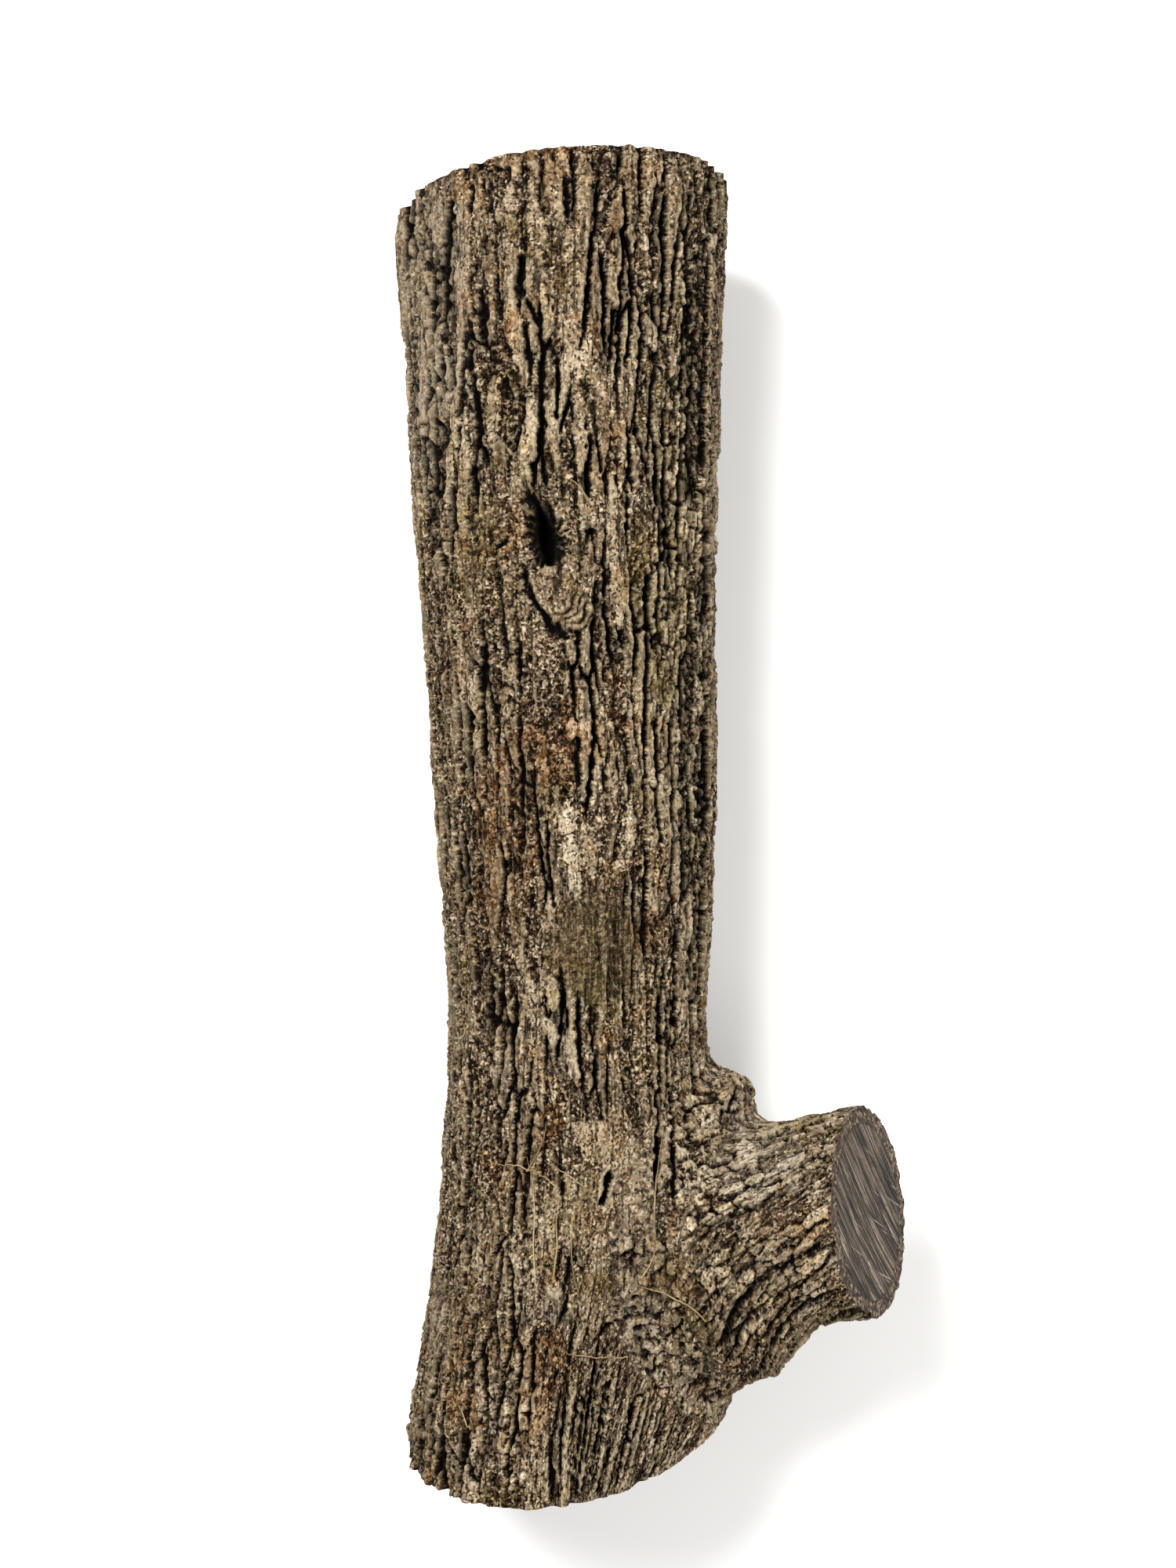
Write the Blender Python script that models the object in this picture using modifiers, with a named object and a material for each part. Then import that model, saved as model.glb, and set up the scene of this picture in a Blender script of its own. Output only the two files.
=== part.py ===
"""A walnut log with the sawn stub of one branch, lying on its side on the ground.

Metres, +Z up. The trunk runs along Y with its butt at -Y, and the branch leaves it towards +X.
The origin is the middle of the log's box, at ground level. The log is modelled about the trunk's
own middle line first and is moved to that origin at the end.
"""

import bpy
import numpy as np
from mathutils import Vector

# Place: the trunk's middle line above the ground, and the middle of the log's box about that line
AXIS_HEIGHT = 0.1290
BOX_MIDDLE = (0.0478, -0.0305)

# Trunk over the bark: place along Y, sideways place and height of its middle, radius
TRUNK = (
    (-0.6000, -0.0130, -0.0075, 0.1385),
    (-0.5000, -0.0125, -0.0060, 0.1315),
    (-0.4375, -0.0105, -0.0040, 0.1230),
    (-0.3750, -0.0075, -0.0015, 0.1170),
    (-0.2800, -0.0055, 0.0000, 0.1125),
    (-0.1875, -0.0085, 0.0000, 0.1058),
    (-0.1250, -0.0088, 0.0000, 0.1090),
    (-0.0625, -0.0098, 0.0000, 0.1135),
    (0.0625, -0.0134, 0.0000, 0.1180),
    (0.1875, -0.0178, 0.0000, 0.1238),
    (0.3125, -0.0205, 0.0000, 0.1285),
    (0.4375, -0.0210, 0.0000, 0.1345),
    (0.5600, -0.0210, 0.0000, 0.1370),
)
# Waves round the trunk's section: how many, share of the radius, turn, twist along Y
LOBES = ((2, 0.012, 2.4, 2.0), (3, 0.010, 0.5, -3.0), (5, 0.005, 1.1, 4.0))

# Branch: the three points that bend its middle line, then along it its radius over the bark
# and how tall its section is for its width
BRANCH_ROOT = (-0.020, -0.440, 0.000)
BRANCH_BEND = (0.080, -0.352, 0.020)
BRANCH_TIP = (0.211, -0.3205, 0.090)
BRANCH_SIZE = (
    (0.00, 0.0700, 0.80),
    (0.30, 0.0950, 0.80),
    (0.50, 0.1080, 0.82),
    (0.60, 0.1060, 0.84),
    (0.70, 0.0925, 0.90),
    (0.75, 0.0855, 0.94),
    (0.80, 0.0810, 0.97),
    (0.90, 0.0790, 1.00),
    (1.00, 0.0810, 1.00),
    (1.30, 0.0820, 1.00),
)
BRANCH_REACH = 1.25
CROTCH_FILLET = 0.030

# The ridge of bark that fills the crotch: its middle, radius, tallness and fillet
CROTCH_RIDGE = (0.109, -0.248, 0.015)
RIDGE_RADIUS = 0.025
RIDGE_TALLNESS = 1.8
RIDGE_FILLET = 0.018

# Sawn faces: a point on each and the way that it faces
TOP_SAW = ((0.0, 0.4612, 0.0), (-0.105, 1.0, -0.033))
BUTT_SAW = ((0.0, -0.5015, 0.0), (0.155, -1.0, -0.190))
BRANCH_SAW = (BRANCH_TIP, (0.875, 0.135, 0.465))

# Bark: length scales of its plates across and along the grain, and depths below their tops
PLATE_ACROSS = 0.0175
PLATE_ALONG = 0.110
PLATE_EDGE = (-0.25, 0.20)
GULLY_EDGE = (0.15, 0.50)
ROUGHNESS_SCALE = 2.1
ROUGHNESS_SHARE = 0.35
WANDER = 0.009
WANDER_LENGTH = 0.060
FURROW_DEPTH = 0.0075
GULLY_DEPTH = 0.0050
GRAIN_RADIUS = 0.118
BRANCH_SEAM = 0.015

# Hollows in the bark: middle, half sizes across and along the grain, depth
KNOT_HOLE = ((-0.0350, 0.1900, 0.1150), (0.0130, 0.0310), 0.026)
KNOT_DIMPLE = ((-0.0080, 0.1230, 0.1150), (0.0150, 0.0200), 0.008)
BUTT_CHIP = ((-0.1350, -0.5200, 0.0200), (0.0400, 0.0300), 0.012)
WORN_PATCH = ((0.0050, -0.1200, 0.1050), (0.0420, 0.0600), 0.004)

# Long cracks in the upper side: the ends of each, half width and depth, and how they wander
CRACK_WANDER = 0.003
CRACK_WANDER_LENGTH = 0.030
CRACKS = (
    ((0.0560, -0.1350), (0.0530, -0.3200), 0.0045, 0.010),
    ((0.0870, -0.1850), (0.0830, -0.3350), 0.0045, 0.010),
    ((0.0300, -0.4350), (0.0450, -0.5000), 0.0050, 0.009),
    ((-0.0150, -0.4000), (-0.0050, -0.4350), 0.0050, 0.009),
)

# The bark is pressed flat where the log rests, and comes back over this height above the ground
REST_FADE = 0.007

# Mesh: the fine skin's face size, its final number of triangles and the size of a saw block
SKIN_FACE = 0.0042
SKIN_TRIANGLES = 13000
SAW_BLOCK = 0.8

BARK_COLOUR = (0.23, 0.165, 0.10, 1.0)
SEED = 11


def clear_scene():
    for thing in list(bpy.data.objects):
        bpy.data.objects.remove(thing, do_unlink=True)


def collection(name):
    made = bpy.data.collections.new(name)
    bpy.context.scene.collection.children.link(made)
    return made


def ease(low, high, value):
    """0 below low, 1 above high and smooth between them."""
    share = np.clip((value - low) / (high - low), 0.0, 1.0)
    return share * share * (3.0 - 2.0 * share)


def read_stations(stations, place):
    """Smooth curves through rows of (place, value, ...), read at each place."""
    table = np.array(stations)
    places, values = table[:, 0], table[:, 1:]
    slopes = np.gradient(values, places, axis=0)
    place = np.clip(place, places[0], places[-1])
    row = np.clip(np.searchsorted(places, place) - 1, 0, len(places) - 2)
    step = (places[row + 1] - places[row])[:, None]
    share = (place - places[row])[:, None] / step
    rise = share * share * (3.0 - 2.0 * share)
    level = values[row] * (1.0 - rise) + values[row + 1] * rise
    bend = slopes[row] * (1.0 - share) - slopes[row + 1] * share
    return level + step * share * (1.0 - share) * bend


def branch_line(share):
    """The branch's middle line and its direction at each share of its length."""
    root, bend, tip = (np.array(p) for p in (BRANCH_ROOT, BRANCH_BEND, BRANCH_TIP))
    t = share[:, None]
    line = (1 - t) ** 2 * root + 2 * t * (1 - t) * bend + t * t * tip
    direction = 2 * (1 - t) * (bend - root) + 2 * t * (tip - bend)
    return line, direction


def trunk_place(points):
    """Each point's gap to the trunk's skin and its direction from the trunk's middle line."""
    middle, height, radius = read_stations(TRUNK, points[:, 1]).T
    across = points[:, 0] - middle
    up = points[:, 2] - height
    angle = np.arctan2(up, across)
    skin = radius.copy()
    for count, size, turn, twist in LOBES:
        skin += radius * size * np.cos(count * angle + turn + twist * points[:, 1])
    out = np.stack([np.cos(angle), np.sin(angle)], axis=1)
    return np.hypot(across, up) - skin, out


def branch_place(points):
    """Each point's gap to the branch's skin, its place along the branch and its offset from it."""
    marks = np.linspace(0.0, BRANCH_REACH, 50)
    line, _ = branch_line(marks)
    nearest = np.zeros(len(points))
    least = np.full(len(points), np.inf)
    for mark, spot in zip(marks, line):
        far = ((points - spot) ** 2).sum(axis=1)
        nearest = np.where(far < least, mark, nearest)
        least = np.minimum(least, far)
    for _ in range(2):
        spot, direction = branch_line(nearest)
        slide = ((points - spot) * direction).sum(axis=1) / (direction**2).sum(axis=1)
        nearest = np.clip(nearest + slide, 0.0, BRANCH_REACH)
    spot, _ = branch_line(nearest)
    offset = points - spot
    radius, tallness = read_stations(BRANCH_SIZE, nearest).T
    offset[:, 2] /= tallness
    return np.linalg.norm(offset, axis=1) - radius, nearest, offset


def blend_gaps(first, second, fillet):
    """The smaller of two gaps, rounded where they meet."""
    share = np.clip(0.5 + 0.5 * (second - first) / fillet, 0.0, 1.0)
    return second + (first - second) * share - fillet * share * (1.0 - share)


def log_gap(points):
    """How far each point stands outside the plate tops of the bark."""
    gap = blend_gaps(trunk_place(points)[0], branch_place(points)[0], CROTCH_FILLET)
    offset = (points - np.array(CROTCH_RIDGE)) / np.array([1.0, 1.0, RIDGE_TALLNESS])
    return blend_gaps(gap, np.linalg.norm(offset, axis=1) - RIDGE_RADIUS, RIDGE_FILLET)


def outward(points):
    """The direction in which the gap grows fastest at each point."""
    reach = 0.001
    here = log_gap(points)
    slope = np.empty_like(points)
    for axis in range(3):
        moved = points.copy()
        moved[:, axis] += reach
        slope[:, axis] = (log_gap(moved) - here) / reach
    return here, slope


def settle(points):
    """Moves each point onto the plate tops."""
    for _ in range(3):
        gap, slope = outward(points)
        points = points - slope * (gap / (slope**2).sum(axis=1))[:, None]
    return points


def scramble(cell, seed):
    """A whole number that looks random for each cell of a lattice."""
    mixed = cell[:, 0] * 374761393 + cell[:, 1] * 668265263 + cell[:, 2] * 2147483647
    mixed = (mixed + seed * 1442695041) & 0xFFFFFFFF
    mixed = ((mixed ^ (mixed >> 13)) * 1274126177) & 0xFFFFFFFF
    return mixed ^ (mixed >> 16)


def noise(points, seed):
    """Smooth noise of about -1 to 1 with one hill or hollow for each unit of length."""
    cell = np.floor(points).astype(np.int64)
    part = points - cell
    weight = part**3 * (part * (part * 6.0 - 15.0) + 10.0)
    total = np.zeros(len(points))
    for corner in np.ndindex(2, 2, 2):
        corner = np.array(corner)
        mixed = scramble(cell + corner, seed)
        pull = np.stack([(mixed >> (10 * k)) & 1023 for k in range(3)], axis=1) / 511.5 - 1.0
        share = np.where(corner, weight, 1.0 - weight).prod(axis=1)
        total += share * (pull * (part - corner)).sum(axis=1)
    return total * 1.6


def plates(grain, seed):
    """Two shares at each point: 1 on the plates of the bark, and 1 in the gullies between them."""
    drift = np.stack([noise(grain / WANDER_LENGTH, seed + k) for k in (1, 2, 3)], axis=1)
    bent = (grain + WANDER * drift) / np.array([PLATE_ACROSS, PLATE_ALONG, PLATE_ACROSS])
    field = noise(bent, seed + 4) + ROUGHNESS_SHARE * noise(bent * ROUGHNESS_SCALE, seed + 5)
    return ease(*PLATE_EDGE, field), ease(*GULLY_EDGE, -field)


def patch(points, feature):
    """1 at the middle of a hollow, falling to 0 at its half sizes."""
    middle, (across, along), _ = feature
    offset = (points - np.array(middle)) / np.array([across, along, across])
    return 1.0 - ease(0.3, 1.0, np.linalg.norm(offset, axis=1))


def crack(points, start, end, half, depth):
    """The depth of one long crack on the upper side."""
    start, end = np.array(start), np.array(end)
    run = end - start
    offset = points[:, :2] - start
    share = np.clip((offset * run).sum(axis=1) / (run**2).sum(), 0.0, 1.0)
    bend = CRACK_WANDER * noise(points / CRACK_WANDER_LENGTH, SEED + 31)
    far = np.linalg.norm(offset - share[:, None] * run, axis=1) + bend
    fade = 1.0 - ease(0.75, 1.0, np.abs(2.0 * share - 1.0))
    return np.where(points[:, 2] > 0, depth * fade * (1.0 - ease(half * 0.4, half * 1.6, far)), 0.0)


def bark_depth(points):
    """How deep the bark lies below the plate tops at each point of the skin."""
    trunk_gap, out = trunk_place(points)
    branch_gap, share, offset = branch_place(points)
    length = np.linalg.norm(np.array(BRANCH_TIP) - np.array(BRANCH_ROOT))
    trunk_grain = np.stack(
        [out[:, 0] * GRAIN_RADIUS, points[:, 1], out[:, 1] * GRAIN_RADIUS], axis=1
    )
    branch_grain = np.stack([offset[:, 1], share * length, offset[:, 2]], axis=1)
    plate, gully = plates(trunk_grain, SEED)
    branch_plate, branch_gully = plates(branch_grain, SEED + 10)
    on_branch = ease(-BRANCH_SEAM, BRANCH_SEAM, trunk_gap - branch_gap)
    plate += (branch_plate - plate) * on_branch
    gully += (branch_gully - gully) * on_branch
    depth = FURROW_DEPTH * (1.0 - plate) + GULLY_DEPTH * gully
    worn = patch(points, WORN_PATCH)
    depth += (WORN_PATCH[2] - depth) * worn
    for feature in (KNOT_HOLE, KNOT_DIMPLE, BUTT_CHIP):
        depth += feature[2] * patch(points, feature)
    for start, end, half, deep in CRACKS:
        depth = np.maximum(depth, crack(points, start, end, half, deep))
    return depth * ease(0.0, REST_FADE, points[:, 2] + AXIS_HEIGHT)


def limb(name, line, radii):
    """A round limb as a mesh: a tube along a line, with a radius at each of its points."""
    curve = bpy.data.curves.new(name, "CURVE")
    curve.dimensions = "3D"
    curve.bevel_depth = 1.0
    curve.bevel_resolution = 10
    curve.use_fill_caps = True
    spline = curve.splines.new("POLY")
    spline.points.add(len(line) - 1)
    for point, place, radius in zip(spline.points, line, radii):
        point.co = (*place, 1.0)
        point.radius = radius
    holder = bpy.data.objects.new(name, curve)
    bpy.context.scene.collection.objects.link(holder)
    mesh = bpy.data.meshes.new_from_object(
        holder.evaluated_get(bpy.context.evaluated_depsgraph_get())
    )
    bpy.data.objects.remove(holder)
    bpy.data.curves.remove(curve)
    tube = bpy.data.objects.new(name, mesh)
    bpy.context.scene.collection.objects.link(tube)
    return tube


def trunk_limb():
    places = np.linspace(TRUNK[0][0], TRUNK[-1][0], 60)
    middle, height, radius = read_stations(TRUNK, places).T
    return limb("trunk", np.stack([middle, places, height], axis=1), radius)


def branch_limb():
    shares = np.linspace(0.1, BRANCH_REACH, 30)
    return limb("branch", branch_line(shares)[0], read_stations(BRANCH_SIZE, shares)[:, 0])


def ridge_limb():
    bpy.ops.mesh.primitive_uv_sphere_add(radius=RIDGE_RADIUS, location=CROTCH_RIDGE)
    ridge = bpy.context.object
    ridge.scale.z = RIDGE_TALLNESS
    return ridge


def evaluated_mesh(thing):
    graph = bpy.context.evaluated_depsgraph_get()
    graph.update()
    return bpy.data.meshes.new_from_object(thing.evaluated_get(graph))


def apply_modifiers(thing):
    mesh = evaluated_mesh(thing)
    thing.modifiers.clear()
    thing.data = mesh


def fused_skin():
    """Trunk and branch grown together as one even skin of small faces."""
    limbs = [trunk_limb(), branch_limb(), ridge_limb()]
    trunk = limbs[0]
    with bpy.context.temp_override(active_object=trunk, selected_editable_objects=limbs):
        bpy.ops.object.join()
    fuse = trunk.modifiers.new("fuse", "REMESH")
    fuse.mode = "VOXEL"
    fuse.voxel_size = SKIN_FACE
    apply_modifiers(trunk)
    return trunk


def mesh_points(mesh):
    points = np.empty(len(mesh.vertices) * 3)
    mesh.vertices.foreach_get("co", points)
    return points.reshape(-1, 3)


def grow_bark(skin):
    """Raises the plates of the bark from the skin, or rather sinks what lies between them."""
    points = settle(mesh_points(skin.data))
    _, slope = outward(points)
    slope /= np.linalg.norm(slope, axis=1)[:, None]
    points -= slope * bark_depth(points)[:, None]
    skin.data.vertices.foreach_set("co", points.astype(np.float32).ravel())
    skin.data.update()


def thin_out(skin):
    """Keeps the faces that carry the relief, down to the number wanted."""
    faces = skin.data
    faces.calc_loop_triangles()
    thin = skin.modifiers.new("thin", "DECIMATE")
    thin.ratio = SKIN_TRIANGLES / len(faces.loop_triangles)
    thin.use_collapse_triangulate = True
    apply_modifiers(skin)


def saw_block(name, place, facing, cutters):
    """A big box with one face on the saw cut, lying on the side that is cut away."""
    bpy.ops.mesh.primitive_cube_add(size=SAW_BLOCK)
    block = bpy.context.object
    block.name = name
    facing = Vector(facing).normalized()
    block.rotation_mode = "QUATERNION"
    block.rotation_quaternion = facing.to_track_quat("Z", "Y")
    block.location = Vector(place) + facing * (SAW_BLOCK / 2)
    block.hide_render = True
    block.display_type = "WIRE"
    for holder in list(block.users_collection):
        holder.objects.unlink(block)
    cutters.objects.link(block)
    return block


def ground_block(cutters):
    """The ground, wider than the log, which leaves a flat where the log rests."""
    block = saw_block("ground", (0.0, 0.0, -AXIS_HEIGHT), (0.0, 0.0, -1.0), cutters)
    block.scale = (2.0, 2.0, 1.0)
    return block


def cut(skin, blocks):
    bpy.context.view_layer.update()
    for block in blocks:
        saw = skin.modifiers.new(block.name, "BOOLEAN")
        saw.operation = "DIFFERENCE"
        saw.solver = "EXACT"
        saw.object = block
    apply_modifiers(skin)


def bark_material():
    material = bpy.data.materials.new("bark")
    material.use_nodes = True
    shader = material.node_tree.nodes["Principled BSDF"]
    shader.inputs["Base Color"].default_value = BARK_COLOUR
    shader.inputs["Roughness"].default_value = 0.85
    shader.inputs["Metallic"].default_value = 0.0
    return material


def lay_down(skin):
    """Moves the mesh so that the origin is the middle of its box, at ground level."""
    points = mesh_points(skin.data) + np.array([-BOX_MIDDLE[0], -BOX_MIDDLE[1], AXIS_HEIGHT])
    skin.data.vertices.foreach_set("co", points.astype(np.float32).ravel())
    skin.data.update()


def build_log():
    parts = collection("walnut_log")
    cutters = collection("cutters")
    skin = fused_skin()
    grow_bark(skin)
    thin_out(skin)
    blocks = [
        saw_block("saw_top", *TOP_SAW, cutters),
        saw_block("saw_butt", *BUTT_SAW, cutters),
        saw_block("saw_branch", *BRANCH_SAW, cutters),
        ground_block(cutters),
    ]
    cut(skin, blocks)
    for block in blocks:
        bpy.data.objects.remove(block)
    lay_down(skin)
    skin.name = "log"
    skin.data.name = "log"
    skin.data.materials.clear()
    skin.data.materials.append(bark_material())
    bpy.context.scene.collection.objects.unlink(skin)
    parts.objects.link(skin)
    skin.data.shade_smooth()
    skin.data.set_sharp_from_angle(angle=np.radians(40.0))
    return skin


clear_scene()
build_log()
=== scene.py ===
"""The looks of a walnut log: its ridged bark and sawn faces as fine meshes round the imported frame.

The skin is worked out in trunk coordinates, as the log's solid is: metres, the trunk's middle line at
x = 0 and z = 0, the butt at -Y, the branch towards +X. It moves to the frame's origin at the end.
"""

import bpy
import numpy as np
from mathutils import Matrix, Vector


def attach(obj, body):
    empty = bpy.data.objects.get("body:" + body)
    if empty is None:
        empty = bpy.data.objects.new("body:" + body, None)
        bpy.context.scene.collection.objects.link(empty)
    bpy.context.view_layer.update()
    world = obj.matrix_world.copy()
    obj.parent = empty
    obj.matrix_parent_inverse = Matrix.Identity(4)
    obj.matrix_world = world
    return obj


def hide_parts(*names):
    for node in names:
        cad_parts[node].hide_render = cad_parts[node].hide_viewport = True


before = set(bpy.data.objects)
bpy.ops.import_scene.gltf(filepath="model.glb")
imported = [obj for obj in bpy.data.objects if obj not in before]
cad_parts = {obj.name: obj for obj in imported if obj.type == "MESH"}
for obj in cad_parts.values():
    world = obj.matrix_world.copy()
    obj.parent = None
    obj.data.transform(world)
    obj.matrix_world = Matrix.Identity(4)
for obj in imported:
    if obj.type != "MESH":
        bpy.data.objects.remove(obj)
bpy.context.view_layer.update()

# Place: the trunk's middle line above the ground, and the middle of the log's box about that line
AXIS_HEIGHT = 0.1290
BOX_MIDDLE = (0.0478, -0.0305)
TO_MIDDLE = (-BOX_MIDDLE[0], -BOX_MIDDLE[1])

# Trunk over the bark: place along Y, sideways place and height of its middle, radius
TRUNK = (
    (-0.6000, -0.0130, -0.0075, 0.1385),
    (-0.5000, -0.0125, -0.0060, 0.1315),
    (-0.4375, -0.0105, -0.0040, 0.1230),
    (-0.3750, -0.0075, -0.0015, 0.1170),
    (-0.2800, -0.0055, 0.0000, 0.1125),
    (-0.1875, -0.0085, 0.0000, 0.1058),
    (-0.1250, -0.0088, 0.0000, 0.1090),
    (-0.0625, -0.0098, 0.0000, 0.1135),
    (0.0625, -0.0134, 0.0000, 0.1180),
    (0.1875, -0.0178, 0.0000, 0.1238),
    (0.3125, -0.0205, 0.0000, 0.1285),
    (0.4375, -0.0210, 0.0000, 0.1345),
    (0.5600, -0.0210, 0.0000, 0.1370),
)
# Waves round the trunk's section: how many, share of the radius, turn, twist along Y
LOBES = ((2, 0.012, 2.4, 2.0), (3, 0.010, 0.5, -3.0), (5, 0.005, 1.1, 4.0))

# Branch: three points that bend its middle line, then along it its radius and tallness
BRANCH_ROOT = (-0.020, -0.440, 0.000)
BRANCH_BEND = (0.080, -0.352, 0.020)
BRANCH_TIP = (0.211, -0.3205, 0.090)
BRANCH_SIZE = (
    (0.00, 0.0700, 0.80),
    (0.30, 0.0950, 0.80),
    (0.50, 0.1080, 0.82),
    (0.60, 0.1060, 0.84),
    (0.70, 0.0925, 0.90),
    (0.75, 0.0855, 0.94),
    (0.80, 0.0810, 0.97),
    (0.90, 0.0790, 1.00),
    (1.00, 0.0810, 1.00),
    (1.30, 0.0820, 1.00),
)
BRANCH_REACH = 1.25
BRANCH_ZONE = -0.14
CROTCH_FILLET = 0.030
CROTCH_RIDGE = (0.109, -0.248, 0.015)
RIDGE_RADIUS = 0.025
RIDGE_TALLNESS = 1.8
RIDGE_FILLET = 0.018

# Sawn faces: a point on each and the way that it faces
TOP_SAW = ((0.0, 0.4612, 0.0), (-0.105, 1.0, -0.033))
BUTT_SAW = ((0.0, -0.5015, 0.0), (0.155, -1.0, -0.190))
BRANCH_SAW = (BRANCH_TIP, (0.875, 0.135, 0.465))
SAWS = (TOP_SAW, BUTT_SAW, BRANCH_SAW)
BRANCH = 2
# Where each pith lies from its face's middle, and the lie, spacing, length and depth of the marks
PITH = ((0.012, -0.008), (-0.010, 0.012), (0.004, 0.006))
SAW_LIE = (0.35, -0.25, 0.58)
SAW_BEND = 0.8
MARK_WIDE = 0.0042
MARK_LONG = 0.060
MARK_DEPTH = 0.0004

# Skin: face sizes of the rough and the fine skin, and how far a sawn face follows the bark's edge
ROUGH_FACE = 0.006
SKIN_FACE = 0.00165
SAW_FOLLOW = 0.030
SAW_REACH = 0.25
SAW_BLOCK = 0.8
RIM_CALM = 0.012
REST_FADE = 0.007
DEEPEST = 0.0135

# Pieces: the places along Y where the trunk's meet, and where the branch's begins
SECTION_EDGES = (-0.42, -0.30, -0.17, 0.00, 0.155, 0.31)
BRANCH_SECTION = 0.124
BRANCH_PIECE = len(SECTION_EDGES) + 1

# Bark: radius at which its grain is laid out round the trunk and the branch, and its plates
TRUNK_GRAIN = 0.118
BRANCH_GRAIN = 0.085
BRANCH_TWIST = 0.36
FLOW = 3.5
SIDE_SPREAD = 0.18
PLATE_WIDE = 0.0136
PLATE_LONG = 0.085
SUNK_SHARE = 0.38
BLOCK_WIDE = 0.0112
BLOCK_LONG = 0.0150
LUMP_SIZE = 0.0112
RUBBLE_WIDE = 0.0042
RUBBLE_LONG = 0.0058
FLAKE_WIDE = 0.0085
FLAKE_LONG = 0.0240
SEED = 11

# Materials: how far their relief stands, and the contrast of the bark's colour
BARK_GAMMA = 1.30
BARK_BUMP = 0.0027
WOOD_BUMP = 0.0010
STRAW_BUMP = 0.0003
TRUNK_WOOD = ((40, 31, 23), (92, 76, 61), (142, 123, 103))
TRUNK_SAP = (150, 132, 108)
TRUNK_RINGS = 190.0
BRANCH_WOOD = ((8, 6, 4), (53, 46, 39), (134, 121, 106))
BRANCH_SAP = (124, 112, 97)
BRANCH_RINGS = 120.0

# Studio: the floor, and each light's name, place, size and power
FLOOR_SIZE = 12.0
FLOOR_COLOUR = (0.86, 0.86, 0.85, 1.0)
SKY_COLOUR = (1.0, 0.99, 0.97, 1.0)
SKY_STRENGTH = 0.54
LIGHTS = (
    ("key", (-0.95, 1.10, 2.3), 0.8, 104.0),
    ("fill", (1.7, -0.5, 1.6), 1.8, 44.0),
)

# How the photograph shows the log: straight from above, in its frame of 1500 by 2000 pixels
FRAME_MIDDLE = np.array([750.0, 1000.0])
FRAME_PIXEL = 0.000625
FRAME_TALL = 2000
CAMERA_HEIGHT = 1.5
SENSOR = 36.0
EYE = (*TO_MIDDLE, AXIS_HEIGHT + CAMERA_HEIGHT)

# The dead branch's hole and the whorl below it: middles, ways and half sizes in its pixels
HOLE_MIDDLE = (697.0, 688.0)
HOLE_WAY = (0.185, 0.983)
HOLE_HALF = (12.5, 50.0)
HOLE_DEPTH = 0.024
WHORL_LINE = ((702, 742), (735, 780))
WHORL_MIDDLE = (722.0, 766.0)
WHORL_WAY = (0.66, 0.75)
WHORL_HALF = 27.0
WHORL_SHADE = ((718, 803), (28, 14))

# Patches of the photograph: the middle and half sizes of each in its pixels
ROUND_KNOT = ((692, 735), (95, 150))
NEAT = ((680, 330), (190, 330))
MUD = ((765, 1560), (115, 190))
WORN = ((762, 1208), (92, 112))
CHIP = ((545, 1850), (34, 40))
CHIP_DEPTH = 0.002

# The same with a strength before each: deeper furrows, tones, red-brown, olive and ashy stains
DEEPER = ((0.4, (548, 440), (60, 330)), (0.5, (885, 740), (60, 620)))
TONES = (
    (0.30, (940, 1480), (120, 170)), (0.42, (725, 1860), (230, 150)), (0.14, (1010, 1570), (110, 180)),
    (-0.12, (740, 300), (220, 220)), (0.18, (885, 740), (60, 620)), (-0.10, (548, 400), (64, 320)),
    (-0.22, (630, 720), (70, 120)),
)
WARM = (
    (0.8, (700, 965), (75, 75)), (0.9, (828, 1192), (36, 34)), (0.8, (695, 1438), (34, 46)),
    (0.6, (700, 1742), (42, 60)), (0.7, (858, 1640), (60, 40)), (0.6, (792, 300), (24, 90)),
    (0.5, (655, 440), (26, 90)), (0.5, (745, 1090), (24, 50)), (0.7, (640, 1080), (75, 200)),
    (0.4, (760, 900), (90, 110)), (0.5, (960, 1690), (120, 60)), (0.5, (640, 1500), (60, 140)),
    (0.35, (630, 1760), (110, 190)), (0.3, (780, 1800), (130, 110)),
)
MOSS = (
    (0.8, (850, 760), (80, 380)), (0.7, (610, 700), (60, 130)), (0.5, (760, 1600), (130, 150)),
    (0.5, (800, 1250), (90, 120)),
)
ASH = (
    (0.8, (975, 1500), (95, 130)), (1.1, (548, 400), (64, 320)), (0.8, (562, 1690), (34, 90)),
    (0.9, (706, 1668), (30, 34)), (0.8, (715, 1330), (34, 70)),
)

# Strands of dry grass on the bark, where the photograph shows them, in its pixels
STRANDS = (
    ((672, 1475), (679, 1500), (682, 1545), (680, 1590), (683, 1640)),
    ((628, 1483), (655, 1484), (680, 1492), (700, 1504), (710, 1515)),
    ((697, 1430), (694, 1452), (682, 1478), (672, 1492)),
    ((713, 1530), (709, 1560), (711, 1590), (705, 1632)),
    ((728, 1572), (729, 1605), (733, 1636), (738, 1648)),
    ((697, 1482), (722, 1496), (745, 1514), (757, 1522)),
    ((834, 1556), (837, 1580), (833, 1606), (818, 1630)),
    ((806, 1638), (834, 1644), (862, 1656), (882, 1667), (900, 1684)),
    ((706, 1716), (730, 1727), (760, 1731), (800, 1729)),
    ((846, 1440), (841, 1475), (836, 1510), (834, 1556)),
    ((728, 612), (740, 620), (748, 636)),
    ((584, 1788), (592, 1806), (600, 1822)),
)
STRAND_RADIUS = 0.00048

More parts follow.
